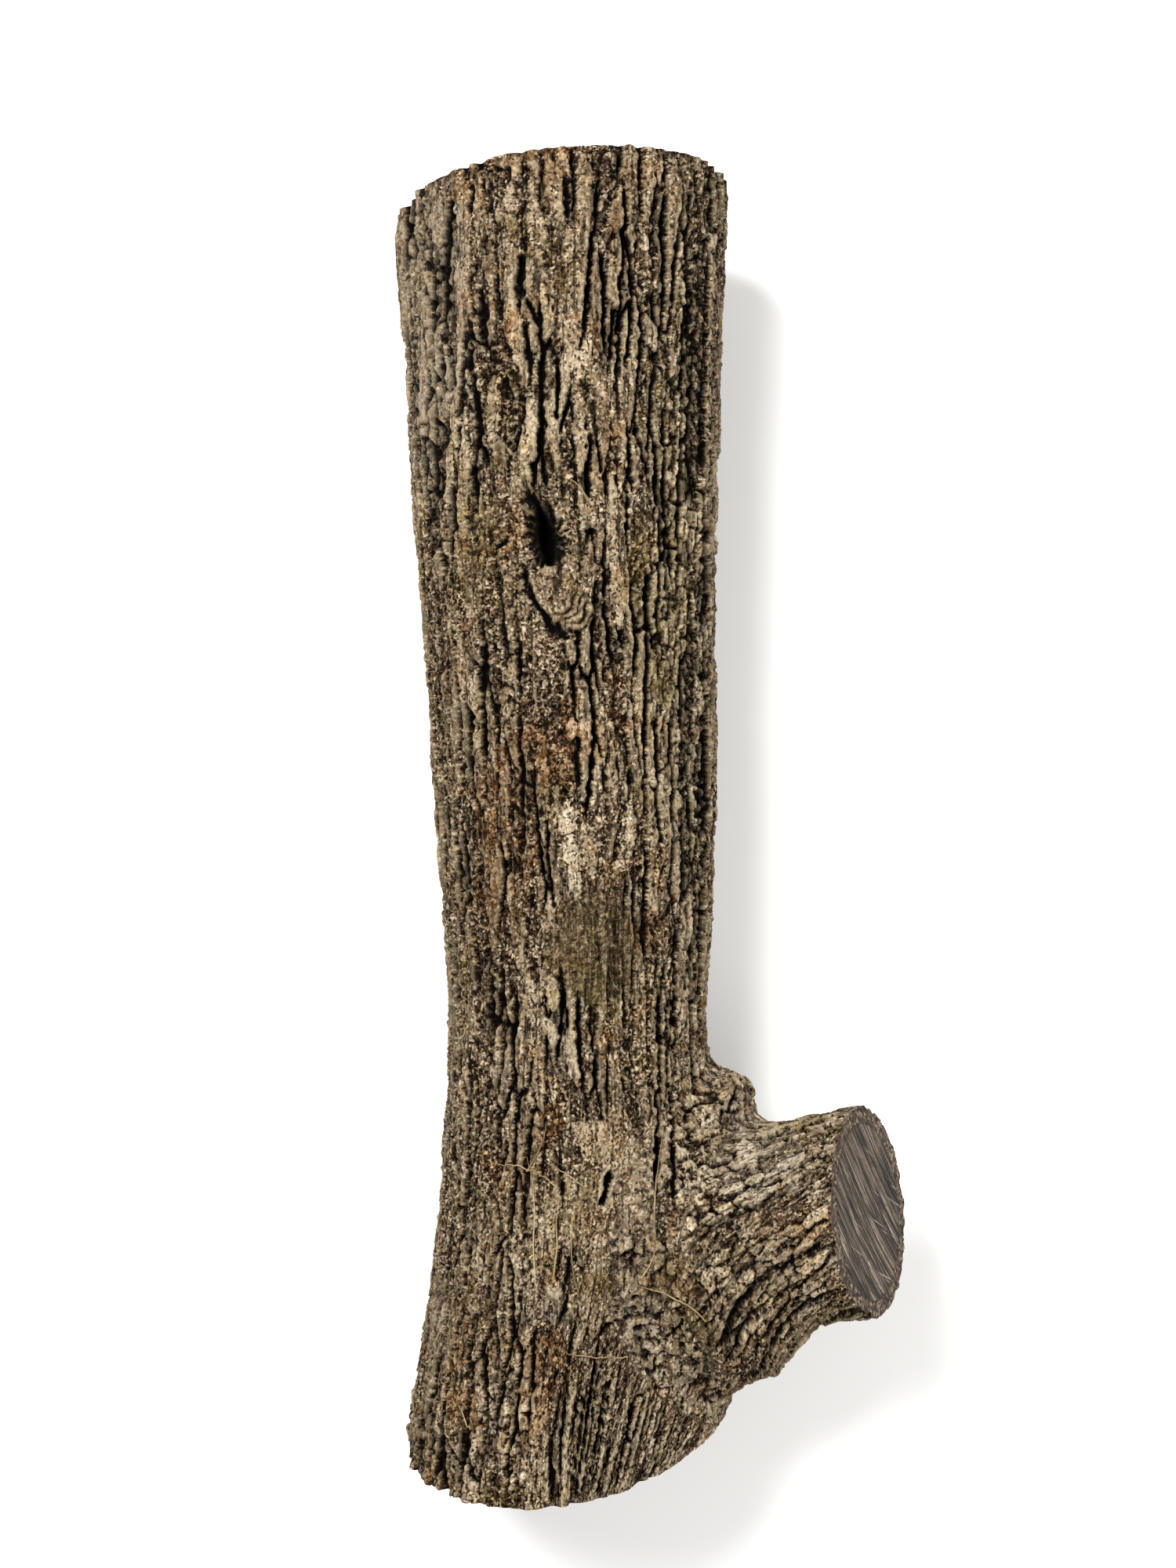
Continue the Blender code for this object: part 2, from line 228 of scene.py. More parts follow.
# Furrows where the photograph shows them: points in its pixels, half width in pixels, depth
FURROWS = (
    (((770, 190), (764, 240), (760, 290), (752, 350), (747, 422), (733, 461)), 4.0, 0.010),
    (((798, 200), (800, 290), (792, 399), (788, 481), (778, 524)), 3.5, 0.010),
    (((842, 208), (835, 306), (836, 340)), 3.5, 0.009),
    (((720, 212), (724, 250), (728, 290)), 6.0, 0.008),
    (((885, 220), (880, 330), (885, 400), (884, 480)), 4.0, 0.010),
    (((866, 469), (868, 590)), 3.5, 0.009),
    (((593, 383), (584, 500), (582, 560)), 4.5, 0.008),
    (((564, 395), (558, 492)), 4.5, 0.008),
    (((667, 337), (660, 383)), 5.0, 0.008),
    (((755, 547), (751, 609)), 4.0, 0.009),
    (((800, 578), (802, 726)), 3.0, 0.008),
    (((838, 540), (840, 640), (838, 700)), 3.0, 0.009),
    (((860, 640), (862, 760)), 3.0, 0.009),
    (((908, 260), (906, 470), (903, 640), (905, 900), (903, 1100), (898, 1250), (893, 1390)), 5.0, 0.011),
    (((666, 715), (668, 760)), 4.0, 0.008),
    (((826, 1050), (828, 1180), (830, 1260)), 3.0, 0.009),
    (((868, 1150), (865, 1300), (866, 1400)), 3.0, 0.010),
    (((845, 1240), (847, 1320), (843, 1419), (836, 1557)), 3.5, 0.011),
    (((862, 1373), (862, 1465), (855, 1553)), 3.0, 0.010),
    (((781, 1490), (776, 1515), (769, 1542)), 4.5, 0.012),
    (((728, 1645), (716, 1680), (706, 1700)), 3.5, 0.009),
    (((862, 1759), (836, 1772), (813, 1786), (808, 1812), (805, 1880)), 4.0, 0.011),
    (((764, 1773), (736, 1790), (728, 1842)), 3.5, 0.010),
    (((828, 1679), (800, 1684), (774, 1694), (755, 1722)), 3.0, 0.008),
    (((652, 1737), (640, 1770), (622, 1825)), 3.0, 0.009),
    (((646, 1452), (638, 1485), (630, 1518)), 3.5, 0.009),
    (((642, 1573), (628, 1602)), 3.5, 0.009),
    (((783, 1842), (774, 1880)), 3.0, 0.009),
    (((702, 1767), (713, 1745)), 3.0, 0.008),
    (((652, 1870), (642, 1900)), 3.0, 0.009),
    (((640, 1255), (636, 1300), (640, 1345)), 6.0, 0.007),
    (((668, 712), (671, 742), (680, 768), (700, 796), (724, 813), (754, 812)), 6.0, 0.009),
    (((688, 640), (682, 622), (672, 612)), 2.5, 0.006),
    (((692, 640), (692, 616), (688, 604)), 2.5, 0.006),
    (((790, 815), (802, 818)), 4.0, 0.007),
    (((561, 425), (560, 520)), 5.5, 0.009),
    (((513, 285), (514, 335), (522, 397), (528, 499)), 3.5, 0.008),
    (((544, 285), (542, 358)), 4.0, 0.008),
    (((544, 465), (538, 580)), 3.5, 0.008),
    (((671, 400), (672, 440), (678, 490)), 5.0, 0.009),
    (((641, 474), (650, 512)), 6.0, 0.008),
    (((548, 620), (552, 760), (558, 900), (566, 1060)), 3.5, 0.008),
    (((572, 1080), (578, 1250), (576, 1420)), 3.5, 0.008),
)

# Smooth plates where the photograph shows them: points, half width in pixels, tone from dark to pale
PLATES = (
    (((586, 212), (589, 298), (588, 368), (581, 500)), 10.0, 0.62),
    (((608, 215), (607, 240), (613, 337)), 7.0, 0.55),
    (((625, 202), (662, 198)), 9.0, 0.50),
    (((677, 225), (683, 306), (688, 383)), 10.0, 0.72),
    (((696, 195), (710, 263), (735, 352), (728, 422), (718, 505)), 12.0, 0.70),
    (((745, 196), (749, 251), (744, 313)), 12.0, 0.66),
    (((645, 352), (655, 422), (671, 492)), 10.0, 0.80),
    (((677, 512), (675, 558), (671, 597)), 9.0, 0.78),
    (((698, 535), (713, 597)), 6.0, 0.64),
    (((741, 531), (742, 601)), 9.0, 0.58),
    (((654, 278), (650, 337)), 11.0, 0.56),
    (((836, 198), (839, 235)), 12.0, 0.80),
    (((863, 205), (867, 278)), 11.0, 0.48),
    (((792, 250), (792, 288)), 12.0, 0.52),
    (((788, 306), (786, 391)), 10.0, 0.50),
    (((827, 399), (838, 446)), 8.0, 0.76),
    (((803, 469), (803, 539)), 10.0, 0.50),
    (((754, 461), (772, 524)), 11.0, 0.55),
    (((552, 232), (554, 313)), 8.0, 0.58),
    (((782, 609), (788, 680), (793, 800)), 12.0, 0.60),
    (((740, 617), (757, 671)), 9.0, 0.66),
    (((628, 481), (625, 578)), 8.0, 0.56),
    (((590, 523), (586, 640), (584, 734)), 6.0, 0.66),
    (((590, 835), (598, 905)), 10.0, 0.66),
    (((720, 1022), (724, 1065), (731, 1105), (733, 1145)), 10.0, 0.92),
    (((730, 918), (731, 944)), 8.0, 0.88),
    (((745, 1055), (757, 1110)), 7.0, 0.64),
    (((700, 1248), (706, 1290)), 9.0, 0.80),
    (((696, 1298), (706, 1335)), 8.0, 0.92),
    (((726, 1312), (735, 1380)), 8.0, 0.74),
    (((702, 1655), (712, 1640)), 11.0, 0.72),
    (((738, 1436), (768, 1464), (800, 1494)), 22.0, 0.70),
    (((672, 1250), (672, 1300), (670, 1370)), 8.0, 0.66),
    (((946, 1452), (956, 1484)), 14.0, 0.86),
    (((534, 395), (538, 475), (532, 555)), 6.0, 0.66),
    (((578, 500), (574, 560), (566, 640)), 7.0, 0.62),
)


def ease(low, high, value):
    """0 at low, 1 at high and smooth between them."""
    share = np.clip((value - low) / (high - low), 0.0, 1.0)
    return share * share * (3.0 - 2.0 * share)


def unit(vectors):
    return vectors / np.linalg.norm(vectors, axis=-1, keepdims=True)


def read_stations(stations, place):
    """Smooth curves through rows of (place, value, ...), read at each place."""
    table = np.array(stations)
    places, values = table[:, 0], table[:, 1:]
    slopes = np.gradient(values, places, axis=0)
    place = np.clip(place, places[0], places[-1])
    row = np.clip(np.searchsorted(places, place) - 1, 0, len(places) - 2)
    step = (places[row + 1] - places[row])[:, None]
    share = (place - places[row])[:, None] / step
    rise = share * share * (3.0 - 2.0 * share)
    level = values[row] * (1.0 - rise) + values[row + 1] * rise
    bend = slopes[row] * (1.0 - share) - slopes[row + 1] * share
    return level + step * share * (1.0 - share) * bend


def branch_line(share):
    """The branch's middle line and its direction at each share of its length."""
    root, bend, tip = (np.array(p) for p in (BRANCH_ROOT, BRANCH_BEND, BRANCH_TIP))
    t = share[:, None]
    line = (1 - t) ** 2 * root + 2 * t * (1 - t) * bend + t * t * tip
    direction = 2 * (1 - t) * (bend - root) + 2 * t * (tip - bend)
    return line, direction


def trunk_place(points):
    """Each point's gap to the trunk's skin and its angle round the trunk's middle line."""
    middle, height, radius = read_stations(TRUNK, points[:, 1]).T
    across = points[:, 0] - middle
    up = points[:, 2] - height
    angle = np.arctan2(up, across)
    skin = radius.copy()
    for count, size, turn, twist in LOBES:
        skin += radius * size * np.cos(count * angle + turn + twist * points[:, 1])
    return np.hypot(across, up) - skin, angle


def branch_place(points):
    """Each point's gap to the branch's skin, its place along the branch and its offset from it."""
    marks = np.linspace(0.0, BRANCH_REACH, 26)
    line, _ = branch_line(marks)
    nearest = np.zeros(len(points))
    least = np.full(len(points), np.inf)
    for mark, spot in zip(marks, line):
        far = ((points - spot) ** 2).sum(axis=1)
        nearest = np.where(far < least, mark, nearest)
        least = np.minimum(least, far)
    for _ in range(3):
        spot, direction = branch_line(nearest)
        slide = ((points - spot) * direction).sum(axis=1) / (direction**2).sum(axis=1)
        nearest = np.clip(nearest + slide, 0.0, BRANCH_REACH)
    spot, _ = branch_line(nearest)
    offset = points - spot
    radius, tallness = read_stations(BRANCH_SIZE, nearest).T
    offset[:, 2] /= tallness
    return np.linalg.norm(offset, axis=1) - radius, nearest, offset


def branch_turn(share, offset):
    """Each point's angle round the branch's middle line."""
    _, direction = branch_line(share)
    direction = unit(direction)
    side = unit(np.cross(direction, np.array([0.0, 0.0, 1.0])))
    lift = np.cross(side, direction)
    return np.arctan2((offset * lift).sum(axis=1), (offset * side).sum(axis=1))


def blend_gaps(first, second, fillet):
    """The smaller of two gaps, rounded where they meet."""
    share = np.clip(0.5 + 0.5 * (second - first) / fillet, 0.0, 1.0)
    return second + (first - second) * share - fillet * share * (1.0 - share)


def log_gap(points):
    """How far each point stands outside the plate tops of the bark."""
    gap, _ = trunk_place(points)
    near = points[:, 1] < BRANCH_ZONE
    close = points[near]
    joined = blend_gaps(gap[near], branch_place(close)[0], CROTCH_FILLET)
    offset = (close - np.array(CROTCH_RIDGE)) / np.array([1.0, 1.0, RIDGE_TALLNESS])
    gap[near] = blend_gaps(joined, np.linalg.norm(offset, axis=1) - RIDGE_RADIUS, RIDGE_FILLET)
    return gap


def outward(points):
    """The gap at each point and the direction in which it grows fastest."""
    reach = 0.001
    here = log_gap(points)
    slope = np.empty_like(points)
    for axis in range(3):
        moved = points.copy()
        moved[:, axis] += reach
        slope[:, axis] = (log_gap(moved) - here) / reach
    return here, slope


def settle(points, rounds):
    """Moves each point onto the plate tops."""
    for _ in range(rounds):
        gap, slope = outward(points)
        points = points - slope * (gap / (slope**2).sum(axis=1))[:, None]
    return points


def scramble(cell, seed):
    """A whole number that looks random for each cell of a lattice."""
    mixed = cell[0] * 374761393 + cell[1] * 668265263 + cell[2] * 2147483647
    mixed = (mixed + seed * 1442695041) & 0xFFFFFFFF
    mixed = ((mixed ^ (mixed >> 13)) * 1274126177) & 0xFFFFFFFF
    return mixed ^ (mixed >> 16)


def noise(points, seed):
    """Smooth noise of about -1 to 1 with one hill or hollow for each unit of length."""
    points = points.T
    cell = np.floor(points).astype(np.int64)
    part = points - cell
    weight = part**3 * (part * (part * 6.0 - 15.0) + 10.0)
    total = np.zeros(points.shape[1])
    for corner in np.ndindex(2, 2, 2):
        mixed = scramble([cell[k] + corner[k] for k in range(3)], seed)
        share = 1.0
        push = 0.0
        for k in range(3):
            share = share * (weight[k] if corner[k] else 1.0 - weight[k])
            push = push + (((mixed >> (10 * k)) & 1023) / 511.5 - 1.0) * (part[k] - corner[k])
        total += share * push
    return total * 1.6


def grained(ring, across, along, seed):
    """Noise that is drawn out along the grain."""
    return noise(ring / np.array([across, along, across]), seed)


def three_marks(number):
    """Three numbers from 0 to 1 that look random, from the number of each cell."""
    return [((number * prime) >> 7 & 1023) / 1023 for prime in (1, 7919, 104729)]


def cells(place, around, wide, long, seed, narrow=0.0):
    """Cells on a sheet that closes on itself: the way to each place's nearest cell edge, three
    numbers of its cell that look random, and its offset from the cell's middle. Edges across the
    grain count as farther off by the narrow share, so gaps along them come out narrower."""
    turns = round(around / wide)
    size = np.array([around / turns, long])
    spot = place / size
    home = np.floor(spot).astype(np.int64)
    middles = []
    numbers = []
    for step in np.ndindex(3, 3):
        cell = home + np.array(step) - 1
        number = scramble([cell[:, 0] % turns, cell[:, 1], np.zeros(1, np.int64)], seed)
        jitter = np.stack([number & 1023, (number >> 10) & 1023], axis=1) / 1023
        middles.append(cell + 0.08 + 0.84 * jitter)
        numbers.append(number)
    far = np.stack([((spot - middle) ** 2).sum(axis=1) for middle in middles])
    pick = far.argmin(axis=0)
    rows = np.arange(len(spot))
    own = np.stack(middles)[pick, rows]
    number = np.stack(numbers)[pick, rows]
    edge = np.full(len(spot), np.inf)
    for middle in middles:
        run = middle - own
        length = np.linalg.norm(run / size, axis=1)
        away = (((middle + own) / 2 - spot) * run).sum(axis=1)
        run_length = np.maximum(length, 1e-9)
        away = away / run_length * (1.0 + narrow * np.abs(run[:, 1] / size[1]) / run_length)
        edge = np.where(length > 0, np.minimum(edge, away), edge)
    return edge, three_marks(number), (spot - own) * size


def lumps(points, size, seed):
    """Lumps without a grain: the way to each point's nearest lump edge, three numbers of its lump
    that look random, and its offset from the lump's middle."""
    spot_at = points / size
    home = np.floor(spot_at).astype(np.int64)
    middles = []
    numbers = []
    for step in np.ndindex(3, 3, 3):
        cell = home + np.array(step) - 1
        number = scramble([cell[:, 0], cell[:, 1], cell[:, 2]], seed)
        jitter = np.stack([(number >> shift) & 1023 for shift in (0, 10, 20)], axis=1) / 1023
        middles.append(cell + 0.1 + 0.8 * jitter)
        numbers.append(number)
    far = np.stack([((spot_at - middle) ** 2).sum(axis=1) for middle in middles])
    order = np.argsort(far, axis=0)[:2]
    rows = np.arange(len(spot_at))
    own = np.stack(middles)[order[0], rows]
    next_one = np.stack(middles)[order[1], rows]
    number = np.stack(numbers)[order[0], rows]
    run = next_one - own
    edge = (((own + next_one) / 2 - spot_at) * run).sum(axis=1) / np.linalg.norm(run, axis=1)
    return edge * size, three_marks(number), (spot_at - own) * size


def line_reach(place, line):
    """How far each place lies from a line through points, and its share of the way along it."""
    line = np.array(line, float)
    runs = np.diff(line, axis=0)
    lengths = np.linalg.norm(runs, axis=1)
    before = np.cumsum(lengths) - lengths
    best = np.full(len(place), np.inf)
    along = np.zeros(len(place))
    for start, run, length, base in zip(line, runs, lengths, before):
        offset = place - start
        share = np.clip(offset @ run / length**2, 0.0, 1.0)
        far = np.linalg.norm(offset - share[:, None] * run, axis=1)
        along = np.where(far < best, base + share * length, along)
        best = np.minimum(best, far)
    return best, along / lengths.sum()


def seen(points):
    """Where the photograph shows each point, in its pixels."""
    swell = CAMERA_HEIGHT / (CAMERA_HEIGHT - points[:, 2]) / FRAME_PIXEL
    return FRAME_MIDDLE + points[:, :2] * np.array([1.0, -1.0]) * swell[:, None]


def patch(place, middle, half):
    """1 at the middle of a patch of the photograph, falling to 0 at its half sizes."""
    offset = (place - np.array(middle, float)) / np.array(half, float)
    return 1.0 - ease(0.4, 1.0, np.linalg.norm(offset, axis=1))


def long_plates(sheet, ring, around, seed):
    """Bark that has split along the grain: its depth, how far each point is on a plate, its tone."""
    drift = 0.0075 * grained(ring, 0.050, 0.110, seed + 1)
    drift += 0.0020 * grained(ring, 0.010, 0.022, seed + 2)
    drift += 0.0012 * grained(ring, 0.004, 0.006, seed + 3)
    slide = 0.016 * grained(ring, 0.018, 0.050, seed + 4)
    place = sheet + np.stack([drift, slide], axis=1)
    edge, marks, offset = cells(place, around, PLATE_WIDE, PLATE_LONG, seed + 5, 1.8)
    edge = edge + 0.0012 * grained(ring, 0.0036, 0.0060, seed + 10)
    edge = edge + 0.0012 * grained(ring, 0.0070, 0.0140, seed + 11)
    gape = ease(-0.30, 0.45, grained(ring, 0.028, 0.080, seed + 6))
    side = np.abs(ring[:, 0]) / np.hypot(ring[:, 0], ring[:, 2])
    half = (0.0003 + 0.0019 * gape) * (1.0 + 0.7 * side) + 0.0004 * side
    split = (0.0044 + 0.0065 * gape) * (1.0 + 0.25 * side)
    rough = grained(ring, 0.016, 0.045, seed + 7)
    sunk = ease(SUNK_SHARE + 0.08, SUNK_SHARE - 0.08, marks[0] + 0.25 * rough)
    level = 0.0016 * marks[1] + 0.20 * (marks[2] - 0.5) * offset[:, 0]
    level += 0.03 * (marks[1] - 0.5) * offset[:, 1]
    _, bits, tilt = cells(place, around, RUBBLE_WIDE, RUBBLE_LONG, seed + 8)
    crumbs = 0.0036 * bits[0] ** 2 + 0.5 * (bits[1] - 0.5) * tilt[:, 1]
    rubble = 0.0034 + crumbs
    crack, flakes, lean = cells(place, around, FLAKE_WIDE, FLAKE_LONG, seed + 9)
    level += 0.0012 * np.where(flakes[0] > 0.4, flakes[0], 0.0) + 0.16 * (flakes[1] - 0.5) * lean[:, 0]
    level += 0.0016 * ease(0.0012, 0.0, crack) * (flakes[2] > 0.5)
    level += 0.35 * crumbs * ease(0.25, 0.6, marks[2] + 0.3 * rough)
    level = level * (1.0 - sunk) + rubble * sunk
    top = ease(0.2 * half, half + 0.0010, edge)
    depth = level * top + np.maximum(split, level) * (1.0 - top)
    tone = 0.55 * marks[1] + 0.45 * flakes[2]
    return depth, top * (1.0 - sunk), tone


def broken(edge, marks, offset, ring, seed):
    """Chunky blocks: their depth, how far each point is on one, and their tone."""
    edge = edge + 0.0013 * grained(ring, 0.0036, 0.0044, seed + 7)
    edge = edge + 0.0012 * grained(ring, 0.0090, 0.0110, seed + 8)
    half = 0.0002 + 0.0019 * ease(-0.25, 0.55, grained(ring, 0.016, 0.024, seed + 6))
    top = ease(0.4 * half, half + 0.0009, edge)
    level = 0.0034 * marks[0] ** 1.5 + 0.28 * (marks[1] - 0.5) * offset[:, 0]
    level += 0.24 * (marks[2] - 0.5) * offset[:, 1]
    level = np.maximum(level, 0.0)
    return level * top + (0.0046 + 0.0012 * marks[0]) * (1.0 - top), top, marks[2]


def blocks(sheet, around, ring, seed):
    """Bark that has broken across its grain too."""
    drift = 0.0030 * grained(ring, 0.012, 0.016, seed + 1)
    drift += 0.0012 * grained(ring, 0.004, 0.005, seed + 2)
    slide = 0.0050 * grained(ring, 0.014, 0.014, seed + 3)
    slide += 0.0014 * grained(ring, 0.004, 0.005, seed + 4)
    place = sheet + np.stack([drift, slide], axis=1)
    edge, marks, offset = cells(place, around, BLOCK_WIDE, BLOCK_LONG, seed + 5, 0.5)
    return broken(edge, marks, offset, ring, seed)


def crotch_lumps(points, seed):
    """The lumpy bark of the crotch, which has no grain."""
    push = [0.0030 * noise(points / 0.012, seed + k) + 0.0012 * noise(points / 0.004, seed + 9 + k)
            for k in (1, 2, 3)]
    moved = points + np.stack(push, axis=1)
    edge, marks, offset = lumps(moved, LUMP_SIZE, seed + 5)
    depth, top, tone = broken(edge, marks, offset[:, [0, 2]], points, seed)
    _, bits, lean = lumps(moved, 0.45 * LUMP_SIZE, seed + 6)
    depth = depth + np.maximum(0.0013 * bits[0] + 0.30 * (bits[1] - 0.5) * lean[:, 0], 0.0)
    return depth, top, tone


def layout(points):
    """How the grain lies: for the trunk and for the branch, each point's place on the unrolled
    sheet and on a round bar; then how far each point belongs to the branch, and the crotch."""
    trunk_gap, angle = trunk_place(points)
    low = np.maximum(-0.25 - points[:, 1], 0.0)
    bend = -FLOW * low**2 * ease(-0.05, 0.10, points[:, 0]) / TRUNK_GRAIN
    wound = angle - SIDE_SPREAD * np.sin(2.0 * angle) * (0.5 + 0.5 * np.cos(angle)) + bend
    sheet = np.stack([wound * TRUNK_GRAIN, points[:, 1]], axis=1)
    angle = angle + bend
    ring = np.stack([np.cos(angle) * TRUNK_GRAIN, points[:, 1], np.sin(angle) * TRUNK_GRAIN], axis=1)
    near = points[:, 1] < BRANCH_ZONE
    branch_gap, share, offset = branch_place(points[near])
    along = share * np.linalg.norm(np.array(BRANCH_TIP) - np.array(BRANCH_ROOT))
    turn = branch_turn(share, offset) - BRANCH_TWIST * along / BRANCH_GRAIN
    branch_sheet = np.stack([turn * BRANCH_GRAIN, along], axis=1)
    branch_ring = np.stack([np.cos(turn) * BRANCH_GRAIN, along, np.sin(turn) * BRANCH_GRAIN], axis=1)
    belongs = np.zeros(len(points))
    belongs[near] = ease(-0.018, 0.018, trunk_gap[near] - branch_gap)
    crotch = np.zeros(len(points))
    crotch[near] = 1.0 - ease(0.015, 0.045, np.abs(trunk_gap[near] - branch_gap))
    return sheet, ring, near, branch_sheet, branch_ring, belongs, crotch


def knot(place, depth):
    """The dead branch's hole with its folded rim, and the grey whorl below it."""
    along = np.array(HOLE_WAY)
    across = np.array([along[1], -along[0]])
    offset = place - np.array(HOLE_MIDDLE)
    hole = np.stack([offset @ across, offset @ along], axis=1)
    hole[:, 0] += 5.0 * (hole[:, 1] / 42.0) ** 2
    turn = np.arctan2(hole[:, 1], hole[:, 0])
    reach = np.abs(hole[:, 0] / HOLE_HALF[0]) + np.abs(hole[:, 1] / HOLE_HALF[1]) ** 1.4
    rim = ease(0.7, 1.2, reach) * ease(3.6, 1.6, reach) * ease(70.0, 45.0, np.abs(hole[:, 1] + 8.0))
    folds = np.cos(turn * 15.0 + 2.0 * np.sin(turn * 3.0) + reach * 2.5)
    folds += 0.6 * np.cos(turn * 31.0 + reach * 3.0)
    bowl = 0.0060 * ease(2.6, 1.0, reach)
    depth = depth * (1.0 - 0.8 * rim) + rim * (0.0034 + 0.0021 * folds)
    inside = ease(1.15, 0.45, reach)
    depth += bowl + HOLE_DEPTH * inside
    run = unit(np.array(WHORL_WAY))
    offset = place - np.array(WHORL_MIDDLE)
    down = offset @ run
    sideways = offset @ np.array([run[1], -run[0]])
    far, _ = line_reach(place, WHORL_LINE)
    cap = ease(WHORL_HALF, WHORL_HALF - 7.0, far)
    rings = np.cos(0.62 * (down + 0.018 * sideways**2) + 1.5 * np.sin(0.09 * sideways))
    curl = 0.0024 * rings * ease(-14.0, 8.0, down)
    calm = 0.0016 + curl + 0.0018 * (far / WHORL_HALF) ** 2 + 0.12 * np.minimum(depth, 0.004)
    depth = depth * (1.0 - cap) + cap * calm
    shade = patch(place, *WHORL_SHADE)
    return depth + 0.005 * shade * (1.0 - cap), cap, np.maximum(rim, inside)


def patches(place, table):
    """Soft patches of the photograph, each with its strength, added up."""
    return sum(strength * patch(place, middle, half) for strength, middle, half in table)


def bark_kinds(points, lie):
    """The two kinds of bark, split along the grain and broken across it, each as its depth, how far
    each point is on a plate and its tone. Then each point's place along the grain."""
    sheet, ring, near, branch_sheet, branch_ring, belongs, crotch = lie
    around = 2.0 * np.pi * TRUNK_GRAIN
    split = long_plates(sheet, ring, around, SEED)
    cut = blocks(sheet, around, ring, SEED + 20)
    around = 2.0 * np.pi * BRANCH_GRAIN
    branch_split = long_plates(branch_sheet, branch_ring, around, SEED + 40)
    branch_cut = blocks(branch_sheet, around, branch_ring, SEED + 60)
    mix = belongs[near]
    for first, second in zip(split + cut, branch_split + branch_cut):
        first[near] += (second - first[near]) * mix
    lumpy = np.flatnonzero(crotch > 0.0)
    share = crotch[lumpy]
    for first, second in zip(cut, crotch_lumps(points[lumpy], SEED + 110)):
        first[lumpy] += (second - first[lumpy]) * share
    grain = ring.copy()
    grain[near] = np.where(mix[:, None] > 0.5, branch_ring, ring[near])
    grain[crotch > 0.6] = points[crotch > 0.6]
    return split, cut, grain


def joined_bark(points, place, upper, grain, kinds, belongs, crotch):
    """The two kinds of bark as one, calmer toward the crotch, the butt and the knot."""
    (depth, top, tone), (cut, cut_top, cut_tone) = kinds
    patchy = grained(grain, 0.06, 0.12, SEED + 80)
    low = ease(-0.17, -0.30, points[:, 1])
    right = ease(0.030, 0.060, points[:, 0]) * (1.0 - low)
    broke = np.clip(0.35 + 0.55 * patchy + 0.35 * low + 0.35 * right, 0.0, 1.0)
    broke = np.maximum(broke, np.maximum(crotch, 0.95 * belongs))
    foot = ease(-0.36, -0.44, points[:, 1])
    calm = 0.40 * low * upper * (1.0 - 0.6 * foot) + 0.9 * crotch + 0.15 * belongs
    calm = np.clip(np.maximum(calm, 0.75 * patch(place, *ROUND_KNOT) * upper), 0.0, 1.0)
    depth = depth * (1.0 - calm) + 0.0010 * calm
    top = top + (1.0 - top) * calm
    neat = np.maximum(patch(place, *NEAT) * upper, 0.6 * np.maximum(crotch, belongs))
    finish = np.clip(0.64 + 0.55 * neat + 0.5 * grained(grain, 0.022, 0.050, SEED + 88), 0.2, 1.0)
    top = top * finish
    depth = depth + broke * cut * top
    top = top * (1.0 - broke * (1.0 - cut_top))
    tone = tone * (1.0 - 0.6 * broke) + cut_tone * 0.6 * broke
    return depth, top, tone


def muddy_and_worn(points, place, upper, grain, depth, top, tone):
    """Evens out the muddy patch beside the crotch and the worn patch, and deepens the flanks."""
    depth = depth * (1.0 + upper * patches(place, DEEPER))
    mud = 0.75 * patch(place, *MUD) * upper
    mud = mud * ease(-0.5, 0.3, noise(points / 0.030, SEED + 94))
    depth = depth * (1.0 - mud) + mud * (0.0014 + 0.35 * np.minimum(depth, 0.005))
    top = top * (1.0 - mud) + 0.72 * mud
    tone = tone * (1.0 - 0.6 * mud) + 0.36 * mud
    fibres = grained(grain, 0.0026, 0.036, SEED + 81)
    worn = patch(place, *WORN) * upper
    worn = 0.9 * ease(0.15, 0.95, worn + 0.4 * grained(grain, 0.008, 0.03, SEED + 82))
    depth = depth * (1.0 - worn) + worn * (0.0036 + 0.0012 * fibres + 0.2 * np.minimum(depth, 0.006))
    top = top * (1.0 - 0.5 * worn)
    return depth, top, tone, fibres, worn


def seen_features(points, place, upper, ring, depth, top, tone):
    """Adds the plates, the knot and the furrows that the photograph shows, and says where the knot is."""
    wobble = np.stack([noise(points / 0.010, SEED + 83), noise(points / 0.010, SEED + 84)], axis=1)
    wobble += 0.6 * np.stack([noise(points / 0.004, SEED + 85), noise(points / 0.004, SEED + 86)], axis=1)
    bent = place + 3.5 * wobble
    ragged = 0.75 + 0.55 * noise(points / 0.016, SEED + 89)
    for line, half, pale in PLATES:
        far, along = line_reach(bent, line)
        taper = (1.0 - 0.75 * np.abs(2.0 * along - 1.0) ** 3) * np.clip(ragged + 0.2, 0.5, 1.25)
        on = ease(half * taper + 1.2, half * taper - 1.2, far) * upper
        depth = depth * (1.0 - on) + on * (0.0004 + 0.45 * np.minimum(depth, 0.004))
        top = top + (1.0 - top) * on
        tone = tone * (1.0 - on) + on * pale
    knotted, cap, rim = knot(bent, depth)
    depth += (knotted - depth) * upper
    top = np.clip(top * (1.0 - 0.8 * rim * upper) + 0.85 * cap * upper, 0.0, 1.0)
    tone = tone * (1.0 - cap * upper) + 0.45 * cap * upper
    lean = np.clip(1.5 * ring[:, 2] / TRUNK_GRAIN, 0.30, 1.0)
    for line, half, deep in FURROWS:
        far, along = line_reach(bent, line)
        taper = 1.0 - np.abs(2.0 * along - 1.0) ** 4
        wide = half * np.clip(ragged, 0.35, 1.4) * lean
        on = ease(wide * 1.6, wide * 0.5, far) * taper * upper
        depth = np.maximum(depth, deep * on)
        top = top * (1.0 - ease(0.2, 0.7, on))
    return depth, top, tone, cap + rim


